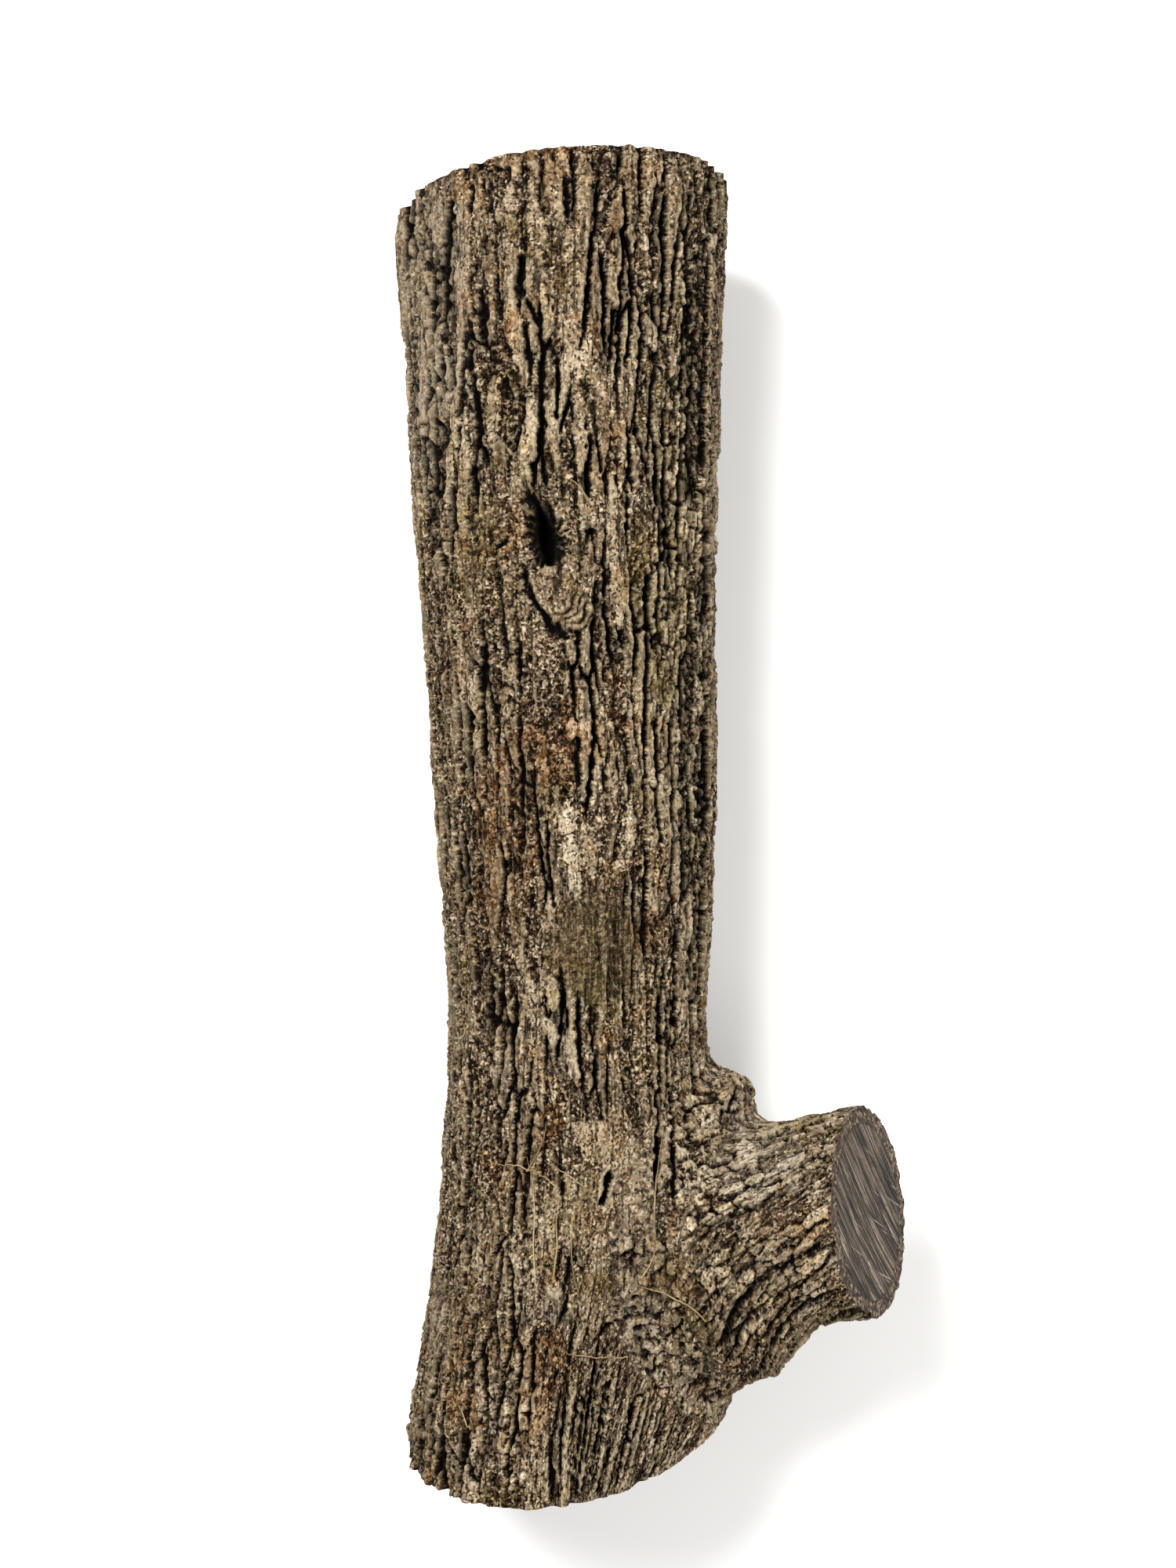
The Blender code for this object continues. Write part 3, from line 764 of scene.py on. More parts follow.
def relief(points):
    """The bark at each point: its depth below the plate tops, how smooth it is, its tone, its
    stains, its place along the grain and how worn it is."""
    lie = layout(points)
    belongs, crotch = lie[-2:]
    *kinds, grain = bark_kinds(points, lie)
    place = seen(points)
    upper = ease(0.0, 0.03, points[:, 2])
    depth, top, tone = joined_bark(points, place, upper, grain, kinds, belongs, crotch)
    depth, top, tone, fibres, worn = muddy_and_worn(points, place, upper, grain, depth, top, tone)
    depth, top, tone, knotty = seen_features(points, place, upper, lie[1], depth, top, tone)
    depth += CHIP_DEPTH * patch(place, *CHIP) * upper
    depth += (0.0004 + 0.0010 * (1.0 - top)) * noise(points / 0.0034, SEED + 87)
    depth += 0.0006 * fibres * top
    tone = tone + upper * patches(place, TONES)
    depth = np.clip(depth, 0.0, 0.04)
    depth = np.where(knotty > 0.01, depth, np.minimum(depth, DEEPEST))
    depth *= ease(0.0, REST_FADE, points[:, 2] + AXIS_HEIGHT)
    stains = stain(place, grain, upper, worn, crotch)
    return depth, np.clip(top, 0.0, 1.0), np.clip(tone, 0.0, 1.0), stains, grain, worn


def stain(place, grain, upper, worn, crotch):
    """Where the bark is red-brown, olive and ashy."""
    drift = grained(grain, 0.030, 0.060, SEED + 90)
    fine = grained(grain, 0.010, 0.022, SEED + 91)
    warm = ease(0.35, 0.85, patches(place, WARM) * upper + 0.35 * drift + 0.25 * fine)
    moss = patches(place, MOSS) * upper + 0.45 * grained(grain, 0.05, 0.09, SEED + 92)
    moss = ease(0.30, 0.95, moss + 0.2 * fine)
    ash = (patches(place, ASH) + 0.6 * crotch) * upper + 0.35 * grained(grain, 0.05, 0.10, SEED + 93)
    ash = ease(0.35, 0.95, ash + 0.2 * fine)
    return np.stack([warm, moss, ash * (1.0 - worn)], axis=1)


def add_object(name, data):
    """A new object in the scene, of a mesh, curve, light or camera."""
    thing = bpy.data.objects.new(name, data)
    bpy.context.scene.collection.objects.link(thing)
    return thing


def worked_out(thing):
    """The thing's mesh as its modifiers or its curve make it."""
    graph = bpy.context.evaluated_depsgraph_get()
    graph.update()
    return bpy.data.meshes.new_from_object(thing.evaluated_get(graph))


def tubes(name, radius, sides, lines):
    """Round tubes as one mesh. Each has its line, and at each point its share of the radius."""
    curve = bpy.data.curves.new(name, "CURVE")
    curve.dimensions = "3D"
    curve.bevel_depth = radius
    curve.bevel_resolution = sides
    curve.use_fill_caps = True
    for line, shares in lines:
        spline = curve.splines.new("POLY")
        spline.points.add(len(line) - 1)
        for point, place, share in zip(spline.points, line, shares):
            point.co = (*place, 1.0)
            point.radius = share
    holder = add_object(name, curve)
    mesh = worked_out(holder)
    bpy.data.objects.remove(holder)
    bpy.data.curves.remove(curve)
    return mesh


def limb(name, line, radii):
    """A round limb: a tube along a line, with a radius at each of its points."""
    return add_object(name, tubes(name, 1.0, 10, [(line, radii)]))


def trunk_limb():
    places = np.linspace(TRUNK[0][0], TRUNK[-1][0], 60)
    middle, height, radius = read_stations(TRUNK, places).T
    return limb("trunk", np.stack([middle, places, height], axis=1), radius)


def branch_limb():
    shares = np.linspace(0.1, BRANCH_REACH, 30)
    return limb("branch", branch_line(shares)[0], read_stations(BRANCH_SIZE, shares)[:, 0])


def ridge_limb():
    bpy.ops.mesh.primitive_uv_sphere_add(radius=RIDGE_RADIUS, location=CROTCH_RIDGE)
    ridge = bpy.context.object
    ridge.scale.z = RIDGE_TALLNESS
    return ridge


def apply_modifiers(thing):
    mesh = worked_out(thing)
    thing.modifiers.clear()
    thing.data = mesh


def remesh(thing, face):
    """Gives the mesh one even skin of four-sided faces."""
    fuse = thing.modifiers.new("fuse", "REMESH")
    fuse.mode = "VOXEL"
    fuse.voxel_size = face
    apply_modifiers(thing)


def mesh_points(mesh):
    points = np.empty(len(mesh.vertices) * 3)
    mesh.vertices.foreach_get("co", points)
    return points.reshape(-1, 3)


def saw_off(skin, place, facing):
    """Cuts away what lies beyond a sawn face."""
    bpy.ops.mesh.primitive_cube_add(size=SAW_BLOCK)
    block = bpy.context.object
    facing = Vector(facing).normalized()
    block.rotation_mode = "QUATERNION"
    block.rotation_quaternion = facing.to_track_quat("Z", "Y")
    block.location = Vector(place) + facing * (SAW_BLOCK / 2)
    bpy.context.view_layer.update()
    saw = skin.modifiers.new("saw", "BOOLEAN")
    saw.operation = "DIFFERENCE"
    saw.solver = "EXACT"
    saw.object = block
    apply_modifiers(skin)
    bpy.data.objects.remove(block)


def smooth_log():
    """The log without its bark's relief: points, four-sided faces and the points' normals."""
    limbs = [trunk_limb(), branch_limb(), ridge_limb()]
    skin = limbs[0]
    with bpy.context.temp_override(active_object=skin, selected_editable_objects=limbs):
        bpy.ops.object.join()
    remesh(skin, ROUGH_FACE)
    points = settle(mesh_points(skin.data), 3)
    skin.data.vertices.foreach_set("co", points.astype(np.float32).ravel())
    for place, facing in SAWS:
        saw_off(skin, place, facing)
    remesh(skin, SKIN_FACE)
    mesh = skin.data
    corners = np.empty(len(mesh.loops), np.int64)
    mesh.loops.foreach_get("vertex_index", corners)
    normals = np.empty(len(mesh.vertices) * 3)
    mesh.vertex_normals.foreach_get("vector", normals)
    points = mesh_points(mesh)
    bpy.data.objects.remove(skin)
    return points, corners.reshape(-1, 4), normals.reshape(-1, 3)


def beyond_saw(points, number):
    """How far each point lies beyond a sawn face's plane, or well short of it if not near it."""
    place, facing = SAWS[number]
    beyond = (points - np.array(place)) @ unit(np.array(facing))
    return np.where(np.linalg.norm(points - np.array(place), axis=1) < SAW_REACH, beyond, -1.0)


def fit_saws(points, normals):
    """Puts each point on the plate tops or on its sawn face, and says which face: -1 for none."""
    face = np.full(len(points), -1)
    rim = np.zeros(len(points), bool)
    for number, (_, facing) in enumerate(SAWS):
        turned = normals @ unit(np.array(facing))
        close = np.abs(beyond_saw(points, number)) < 1.5 * SKIN_FACE
        face[close & (turned > 0.3)] = number
        rim |= close & (turned > 0.3) & (turned < 0.85)
    side = face < 0
    points[side] = settle(points[side], 2)
    for number, (place, facing) in enumerate(SAWS):
        facing = unit(np.array(facing))
        on = np.flatnonzero(face == number)
        moved = points[on]
        moved -= np.outer((moved - np.array(place)) @ facing, facing)
        for _ in range(3):
            gap, slope = outward(moved)
            slope -= np.outer(slope @ facing, facing)
            push = np.where(rim[on], gap, np.maximum(gap + 0.4 * SKIN_FACE, 0.0))
            moved -= slope * (push / np.maximum((slope**2).sum(axis=1), 0.05))[:, None]
        points[on] = moved
    return face, rim


def sink_bark(points, face, depth):
    """Sinks the skin by the depth of the bark. A sawn face moves within itself, with its edge."""
    gap, slope = outward(points)
    way = unit(slope)
    share = np.where(face < 0, 1.0, np.clip(1.0 + gap / SAW_FOLLOW, 0.0, 1.0))
    for number, (_, facing) in enumerate(SAWS):
        facing = unit(np.array(facing))
        hold = ease(-RIM_CALM, 0.0, beyond_saw(points, number))
        way -= np.outer((way @ facing) * hold, facing)
    way /= np.maximum(np.linalg.norm(way, axis=1, keepdims=True), 0.2)
    sunk = points - way * (depth * share)[:, None]
    for number, (_, facing) in enumerate(SAWS):
        beyond = np.maximum(beyond_saw(sunk, number), 0.0)
        sunk -= np.outer(beyond, unit(np.array(facing)))
    sunk[:, 2] = np.maximum(sunk[:, 2], -AXIS_HEIGHT)
    return sunk, gap


def split_faces(points, quads):
    """Three-sided faces, each quad split along its shorter diagonal."""
    first = np.linalg.norm(points[quads[:, 0]] - points[quads[:, 2]], axis=1)
    second = np.linalg.norm(points[quads[:, 1]] - points[quads[:, 3]], axis=1)
    one = quads[first <= second]
    two = quads[first > second]
    return np.concatenate(
        [one[:, [0, 1, 2]], one[:, [0, 2, 3]], two[:, [0, 1, 3]], two[:, [1, 2, 3]]]
    )


def point_normals(points, faces):
    """The mean normal of the faces that meet at each point."""
    a, b, c = (points[faces[:, k]] for k in range(3))
    normal = np.cross(b - a, c - a)
    total = np.zeros_like(points)
    for axis in range(3):
        for k in range(3):
            total[:, axis] += np.bincount(faces[:, k], normal[:, axis], len(points))
    return total / np.maximum(np.linalg.norm(total, axis=1, keepdims=True), 1e-12)


def blurred(values, faces, rounds):
    """Values spread to their neighbours over the mesh, a few times."""
    ends = np.concatenate([faces[:, [0, 1]], faces[:, [1, 2]], faces[:, [2, 0]]])
    count = np.bincount(ends[:, 0], minlength=len(values)) + 1e-9
    for _ in range(rounds):
        values = np.bincount(ends[:, 0], values[ends[:, 1]], len(values)) / count
    return values


def face_place(points, number, gap):
    """Where each point lies on a sawn face: across, up and its share of the way to the rim."""
    place, facing = SAWS[number]
    facing = unit(np.array(facing))
    across = unit(np.cross(np.array([0.0, 0.0, 1.0]), facing))
    up = np.cross(facing, across)
    offset = points - np.array(place)
    flat = np.stack([offset @ across, offset @ up], axis=1)
    middle = flat.mean(axis=0) + PITH[number]
    reach = np.linalg.norm(flat - middle, axis=1)
    return flat, reach / np.maximum(reach - gap, 1e-6)


def saw_marks(points, face, gap):
    """Grooves that the chain left in the sawn faces, and each point's place on its face."""
    groove = np.zeros(len(points))
    flat = np.zeros((len(points), 3))
    for number in range(len(SAWS)):
        on = np.flatnonzero(face == number)
        spots, ring = face_place(points[on], number, gap[on])
        lie = SAW_LIE[number]
        across = spots @ np.array([-np.sin(lie), np.cos(lie)])
        along = spots @ np.array([np.cos(lie), np.sin(lie)])
        across = across + SAW_BEND * along**2
        rows = np.stack([across / MARK_WIDE, along / MARK_LONG, np.full(len(on), number * 7.0)], axis=1)
        mark = noise(rows, SEED + 100) + 0.5 * noise(rows * np.array([2.3, 1.5, 1.0]), SEED + 101)
        groove[on] = MARK_DEPTH * (1.0 + np.clip(mark, -1.0, 1.0))
        flat[on] = np.stack([across, along, ring], axis=1)
    return groove, flat


def calm_rim(points, depth, faces):
    """Evens out the bark's crumbs along the saw cuts, where the saw has torn them off."""
    near = np.min([np.abs(beyond_saw(points, number)) for number in range(len(SAWS))], axis=0)
    share = ease(RIM_CALM, 0.002, near)
    return depth + (blurred(depth, faces, 4) - depth) * share


def grow_log():
    """The whole skin: points, faces, which are sawn, and what the materials read."""
    points, quads, normals = smooth_log()
    face, rim = fit_saws(points, normals)
    depth, top, tone, stains, grain, worn = relief(points)
    depth = calm_rim(points, depth, split_faces(points, quads))
    sunk, gap = sink_bark(points, face, depth)
    groove, flat = saw_marks(sunk, face, gap)
    for number, (_, facing) in enumerate(SAWS):
        on = (face == number) & ~rim
        sunk[on] -= np.outer(groove[on], unit(np.array(facing)))
    faces = split_faces(sunk, quads)
    kinds = face[faces]
    sawn = (kinds[:, 0] >= 0) & (kinds[:, 0] == kinds[:, 1]) & (kinds[:, 0] == kinds[:, 2])
    bark = faces[~sawn]
    # How far each point lies below its surroundings; the bark's colour turns this into painted shade in
    # hollows and painted highlight on raised edges
    cavity = np.clip((depth - blurred(depth, faces, 10)) / 0.004, -1.0, 1.0)
    return {
        "smooth": points,
        "points": sunk,
        "faces": faces,
        "sawn": np.where(sawn, kinds[:, 0], -1),
        "bark_normals": point_normals(sunk, bark),
        "sawn_normals": point_normals(sunk, faces[sawn]),
        "values": {
            "depth": np.clip(depth / DEEPEST, 0.0, 1.5),
            "cavity": cavity * 0.5 + 0.5,
            "plate": top,
            "tone": tone,
            "worn": worn,
            "rim": np.clip(-gap, 0.0, 0.2),
            "stains": stains,
            "grain": grain,
            "flat": flat,
        },
    }


def sections(log):
    """Which piece each face belongs to: 0 from the butt up, and last the branch."""
    middle = log["smooth"][log["faces"]].mean(axis=1)
    number = np.searchsorted(np.array(SECTION_EDGES), middle[:, 1])
    number[(middle[:, 0] > BRANCH_SECTION) & (middle[:, 1] < BRANCH_ZONE)] = BRANCH_PIECE
    return number


def shared_edges(log, owner):
    """The edges along which each piece meets each of its neighbours."""
    faces = log["faces"]
    edges = np.concatenate([faces[:, [0, 1]], faces[:, [1, 2]], faces[:, [2, 0]]])
    owner = np.tile(owner, 3)
    key = np.minimum(edges[:, 0], edges[:, 1]) * len(log["points"]) + np.maximum(edges[:, 0], edges[:, 1])
    order = np.argsort(key, kind="stable")
    one, two = order[0::2], order[1::2]
    apart = owner[one] != owner[two]
    pairs = {}
    for a, b in zip(one[apart], two[apart]):
        for this, other in ((a, b), (b, a)):
            pairs.setdefault((owner[this], owner[other]), []).append(edges[this])
    return pairs


def chart(log, faces, number, sawn):
    """A flat map of the piece for baking: bark unrolled below, sawn faces above."""
    smooth = log["smooth"][faces]
    if number == BRANCH_PIECE:
        _, share, offset = branch_place(smooth.reshape(-1, 3))
        turn = branch_turn(share, offset).reshape(-1, 3)
        along = share.reshape(-1, 3)
    else:
        _, turn = trunk_place(smooth.reshape(-1, 3))
        turn = turn.reshape(-1, 3)
        along = smooth[:, :, 1]
    turn = (turn + np.pi / 2) % (2 * np.pi)
    turn = np.where(turn - turn[:, :1] > np.pi, turn - 2 * np.pi, turn)
    turn = np.where(turn - turn[:, :1] < -np.pi, turn + 2 * np.pi, turn)
    low, high = along[sawn < 0].min(), along[sawn < 0].max()
    u = 0.02 + 0.96 * turn / (2 * np.pi)
    v = 0.02 + 0.56 * (along - low) / (high - low)
    flat = log["values"]["flat"][faces][:, :, :2] / 0.30 * 0.36
    u = np.where(sawn[:, None] < 0, u, 0.5 + flat[:, :, 1])
    v = np.where(sawn[:, None] < 0, v, 0.80 + flat[:, :, 0])
    return np.stack([np.clip(u, 0.001, 0.999), np.clip(v, 0.001, 0.999)], axis=2)


def closed(log, faces, used, caps, number):
    """The piece's points, its own faces and the faces that close it inside the log."""
    points = log["points"][used]
    inner = []
    for (this, _), edges in sorted(caps.items()):
        if this != number:
            continue
        ring = np.searchsorted(used, np.array(edges))
        middle = log["smooth"][np.unique(np.array(edges))].mean(axis=0)
        points = np.concatenate([points, middle[None]])
        centre = np.full(len(ring), len(points) - 1)
        inner.append(np.stack([ring[:, 1], ring[:, 0], centre], axis=1))
    return points, np.concatenate([faces] + inner)


def build_mesh(name, place, faces):
    """A mesh from points and three-sided faces."""
    mesh = bpy.data.meshes.new(name)
    mesh.vertices.add(len(place))
    mesh.vertices.foreach_set("co", place.astype(np.float32).ravel())
    mesh.loops.add(faces.size)
    mesh.loops.foreach_set("vertex_index", faces.astype(np.int32).ravel())
    mesh.polygons.add(len(faces))
    mesh.polygons.foreach_set("loop_start", np.arange(0, faces.size, 3, dtype=np.int32))
    return mesh


def store(mesh, key, values, used):
    """Keeps values of the log's points on a piece, and 0 on the middles of its inner faces."""
    wide = values.shape[1:]
    filled = np.zeros((len(mesh.vertices), *wide), np.float32)
    filled[: len(used)] = values[used]
    kind, field = ("FLOAT_VECTOR", "vector") if wide else ("FLOAT", "value")
    mesh.attributes.new(key, kind, "POINT").data.foreach_set(field, filled.ravel())


def corner_normals(log, place, capped, outer, sawn):
    """The normal at each face's corners: the bark's, the sawn face's, or flat on the inner faces."""
    normals = np.zeros((len(capped), 3, 3))
    normals[: len(outer)] = log["bark_normals"][outer]
    cut = np.flatnonzero(sawn >= 0)
    normals[cut] = log["sawn_normals"][outer[cut]]
    flat = place[capped[len(outer):]]
    facing = np.cross(flat[:, 1] - flat[:, 0], flat[:, 2] - flat[:, 0])
    normals[len(outer):] = unit(facing + 1e-12)[:, None]
    return normals


def make_piece(log, name, number, owner, caps, materials):
    """One piece of the log as a closed mesh, with what its materials read."""
    outer = log["faces"][owner == number]
    sawn = log["sawn"][owner == number]
    used, faces = np.unique(outer, return_inverse=True)
    points, capped = closed(log, faces.reshape(-1, 3), used, caps, number)
    place = points + np.array([*TO_MIDDLE, AXIS_HEIGHT])
    mesh = build_mesh(name, place, capped)
    slot = np.zeros(len(capped), np.int32)
    slot[: len(outer)] = np.where(sawn < 0, 0, np.where(sawn == BRANCH, 2, 1))
    mesh.polygons.foreach_set("material_index", slot)
    mesh.update(calc_edges=True)
    for material in materials:
        mesh.materials.append(material)
    for key, values in log["values"].items():
        store(mesh, key, values, used)
    spread = np.full((len(capped), 3, 2), 0.0005, np.float32)
    spread[: len(outer)] = chart(log, outer, number, sawn)
    mesh.uv_layers.new(name="OFBake").data.foreach_set("uv", spread.ravel())
    mesh.polygons.foreach_set("use_smooth", np.ones(len(capped), bool))
    mesh.normals_split_custom_set(corner_normals(log, place, capped, outer, sawn).reshape(-1, 3))
    piece = add_object(name, mesh)
    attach(piece, "root")
    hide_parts("log")


class Graph:
    """Short ways to lay out a material's nodes."""

    def __init__(self, name):
        self.material = bpy.data.materials.new(name)
        self.material.use_nodes = True
        self.tree = self.material.node_tree
        self.shader = self.tree.nodes["Principled BSDF"]

    def link(self, value, socket):
        """Sets a socket to a number or colour, or links another node's output to it."""
        if isinstance(value, bpy.types.NodeSocket):
            self.tree.links.new(value, socket)
        else:
            socket.default_value = value

    def add(self, kind, inputs=(), output=0, **settings):
        """Adds a node, sets or links its inputs, and gives one of its outputs."""
        node = self.tree.nodes.new(kind)
        for key, value in settings.items():
            setattr(node, key, value)
        for key, value in dict(inputs).items():
            self.link(value, node.inputs[key])
        return node.outputs[output]

    def attribute(self, name, output="Fac"):
        return self.add("ShaderNodeAttribute", (), output, attribute_name=name)

    def place(self):
        return self.add("ShaderNodeTexCoord", (), "Object")

    def scaled(self, vector, scale):
        return self.add("ShaderNodeVectorMath", {0: vector, 1: scale}, operation="MULTIPLY")

    def shifted(self, vector, push, amount):
        """The vector, moved by a colour that varies, times an amount."""
        inputs = {0: push, 1: (amount,) * 3, 2: vector}
        return self.add("ShaderNodeVectorMath", inputs, operation="MULTIPLY_ADD")

    def turned(self, vector, angle):
        inputs = {"Vector": vector, "Angle": angle}
        return self.add("ShaderNodeVectorRotate", inputs, rotation_type="Z_AXIS")

    def noise(self, vector, scale, detail=3.0, roughness=0.6, output="Fac"):
        inputs = {"Vector": vector, "Scale": scale, "Detail": detail, "Roughness": roughness}
        return self.add("ShaderNodeTexNoise", inputs, output)

    def cell(self, vector, scale):
        """Three numbers that look random for each cell of a crumb pattern."""
        return self.separate(self.add("ShaderNodeTexVoronoi", {"Vector": vector, "Scale": scale}, "Color"))

    def math(self, operation, first, second=0.0):
        return self.add("ShaderNodeMath", {0: first, 1: second}, operation=operation)

    def span(self, value, low, high, out_low=0.0, out_high=1.0):
        """Maps a span of values to another, smoothly and without going past its ends."""
        inputs = {"Value": value, "From Min": low, "From Max": high, "To Min": out_low, "To Max": out_high}
        return self.add("ShaderNodeMapRange", inputs, "Result", interpolation_type="SMOOTHSTEP")

    def ramp(self, value, stops):
        colour = self.add("ShaderNodeValToRGB", {"Fac": value}, "Color")
        elements = colour.node.color_ramp.elements
        while len(elements) < len(stops):
            elements.new(0.5)
        for element, (position, shade) in zip(elements, stops):
            element.position = position
            element.color = tint(shade)
        return colour

    def mix(self, share, first, second, way="MIX"):
        first, second = (tint(c) if isinstance(c, tuple) else c for c in (first, second))
        inputs = {0: share, 6: first, 7: second}
        return self.add("ShaderNodeMix", inputs, 2, data_type="RGBA", blend_type=way)

    def laid(self, colour, layers):
        """The colour under layers: a value, where the layer starts and is full, its most, its shade."""
        for value, low, high, most, shade, way in layers:
            colour = self.mix(self.span(value, low, high, 0.0, most), colour, shade, way)
        return colour

    def separate(self, vector):
        return self.add("ShaderNodeSeparateXYZ", {0: vector}).node.outputs

    def weighted(self, parts):
        """The sum of values, each times its weight."""
        total = 0.0
        for value, weight in parts:
            total = self.math("ADD", self.math("MULTIPLY", value, weight), total)
        return total

    def finished(self, colour, roughness, specular, height, bump):
        """The material, with its colour, roughness and relief linked to its shader."""
        relieved = self.add("ShaderNodeBump", {"Strength": 1.0, "Distance": bump, "Height": height})
        looks = (("Base Color", colour), ("Roughness", roughness), ("Normal", relieved))
        for name, value in looks:
            self.link(value, self.shader.inputs[name])
        self.shader.inputs["Specular IOR Level"].default_value = specular
        return self.material


def tint(colour):
    """A colour of 0 to 255 as screens show it, as the light that it stands for."""
    share = np.array(colour, float) / 255
    light = np.where(share <= 0.04045, share / 12.92, ((share + 0.055) / 1.055) ** 2.4)
    return (*light.tolist(), 1.0)


def bark_stains(graph, colour, warm, moss, ash, hue, pick):
    """Lays red-brown, olive and ashy stains over the bark's colour."""
    red = graph.math("MULTIPLY", warm, graph.span(pick, 0.20, 0.90, 0.10, 0.70))
    colour = graph.mix(red, colour, (212, 170, 124), "MULTIPLY")
    colour = graph.mix(graph.math("MULTIPLY", red, 0.28), colour, (150, 104, 66))
    green = graph.math("MULTIPLY", moss, graph.span(hue, 0.35, 0.85, 0.0, 0.60))
    colour = graph.mix(green, colour, (150, 138, 84))
    grey = graph.math("MULTIPLY", ash, graph.span(hue, 0.65, 0.15, 0.10, 0.65))
    return graph.mix(grey, colour, (186, 174, 158))


def worn_threads(graph, grain, fine):
    """The colour of the bared fibres in the worn patch."""
    threads = graph.noise(graph.scaled(grain, (1.0, 0.06, 1.0)), 420.0, 3.0, 0.7)
    return graph.ramp(graph.weighted(((threads, 0.75), (fine, 0.25))), (
        (0.36, (40, 30, 18)), (0.47, (96, 82, 57)), (0.56, (134, 118, 86)), (0.67, (182, 166, 132)),
    ))


def bark_material():
    """Bark: pale plates over dark crumbly furrows, chipped, cracked and stained; furrows and hollows
    darkened with painted shade, raised edges paled partly by wear and partly with painted highlight.
    """
    graph = Graph("bark_skin")
    place = graph.place()
    grain = graph.attribute("grain", "Vector")
    depth, cavity, plate, tone, worn = (
        graph.attribute(name) for name in ("depth", "cavity", "plate", "tone", "worn")
    )
    warm, moss, ash = graph.separate(graph.attribute("stains", "Vector"))
    wobble = graph.noise(place, 260.0, 3.0, 0.7, "Color")
    fine = graph.noise(place, 760.0, 3.0, 0.8)
    medium = graph.noise(place, 260.0, 3.0, 0.7)
    broad = graph.noise(place, 60.0, 3.0, 0.6)
    areas = graph.noise(place, 22.0, 3.0, 0.6)
    bent = graph.shifted(grain, wobble, 0.0036)
    fibres = graph.noise(graph.scaled(bent, (1.0, 0.12, 1.0)), 520.0, 3.0, 0.7)
    crumb, hue, pick = graph.cell(graph.scaled(bent, (1.0, 0.60, 1.0)), 440.0)
    grit, fleck, _ = graph.cell(bent, 640.0)
    rough = graph.span(graph.weighted(((plate, 1.0), (medium, 0.7))), 1.20, 0.60)

    splits = graph.noise(graph.scaled(bent, (1.0, 0.08, 1.0)), 300.0, 2.0, 0.6)
    splits = graph.span(splits, 0.430, 0.380)
    splits = graph.math("MULTIPLY", splits, graph.span(broad, 0.34, 0.54, 0.45, 1.0))
    nicks = graph.noise(graph.scaled(bent, (0.30, 1.0, 0.30)), 330.0, 2.0, 0.6)
    nicks = graph.span(nicks, 0.400, 0.350)
    nicks = graph.math("MULTIPLY", nicks, graph.span(broad, 0.60, 0.42, 0.2, 1.0))
    nicks = graph.math("MULTIPLY", nicks, graph.span(rough, 0.0, 0.8, 0.15, 1.0))

    rubble = graph.ramp(graph.weighted(((crumb, 0.32), (grit, 0.44), (fine, 0.24))), (
        (0.22, (14, 8, 5)), (0.36, (60, 44, 30)), (0.49, (114, 93, 70)), (0.62, (168, 147, 118)),
        (0.78, (236, 221, 197)),
    ))
    shade = ((tone, 0.36), (broad, 0.10), (fibres, 0.24), (crumb, 0.15), (grit, 0.15))
    top = graph.ramp(graph.weighted(shade), (
        (0.25, (66, 49, 35)), (0.38, (121, 102, 80)), (0.50, (166, 148, 123)), (0.62, (203, 187, 162)),
        (0.75, (242, 229, 207)),
    ))
    colour = graph.laid(graph.mix(rough, top, rubble), (
        (areas, 0.50, 0.66, 0.60, (160, 124, 80), "SOFT_LIGHT"),
        (areas, 0.47, 0.34, 0.70, (124, 126, 88), "SOFT_LIGHT"),
        (hue, 0.70, 0.98, 0.35, (170, 126, 82), "SOFT_LIGHT"),
        (fleck, 0.83, 0.97, 0.55, (240, 226, 200), "MIX"),
        (fleck, 0.29, 0.10, 0.82, (24, 15, 8), "MIX"),
    ))
    colour = graph.mix(graph.math("MULTIPLY", worn, 0.65), colour, worn_threads(graph, grain, fine))
    colour = bark_stains(graph, colour, warm, moss, ash, hue, pick)
    colour = graph.mix(graph.math("MULTIPLY", splits, 0.80), colour, (22, 13, 7))
    colour = graph.mix(graph.math("MULTIPLY", nicks, 0.70), colour, (26, 16, 9))
    # Painted light: paler where a point stands above its surroundings (partly rubbed edges, partly painted
    # highlight), then painted shade darkening the colour with depth and in hollows below their
    # surroundings, and near-black painted shade in the deepest hollows
    colour = graph.laid(colour, (
        (cavity, 0.46, 0.24, 0.35, (218, 202, 172), "MIX"),
        (depth, 0.21, 0.70, 0.94, (14, 8, 4), "MIX"),
        (cavity, 0.57, 0.84, 0.92, (14, 8, 4), "MIX"),
        (depth, 1.05, 1.30, 1.0, (2, 1, 1), "MIX"),
    ))
    colour = graph.add("ShaderNodeGamma", {"Color": colour, "Gamma": BARK_GAMMA})
    height = graph.weighted((
        (fine, 1.0), (medium, 0.4), (grit, 0.50), (crumb, 0.42), (fibres, 0.5), (splits, -0.7),
        (nicks, -0.7),
    ))
    return graph.finished(colour, graph.span(fine, 0.3, 0.7, 0.82, 0.97), 0.06, height, BARK_BUMP)


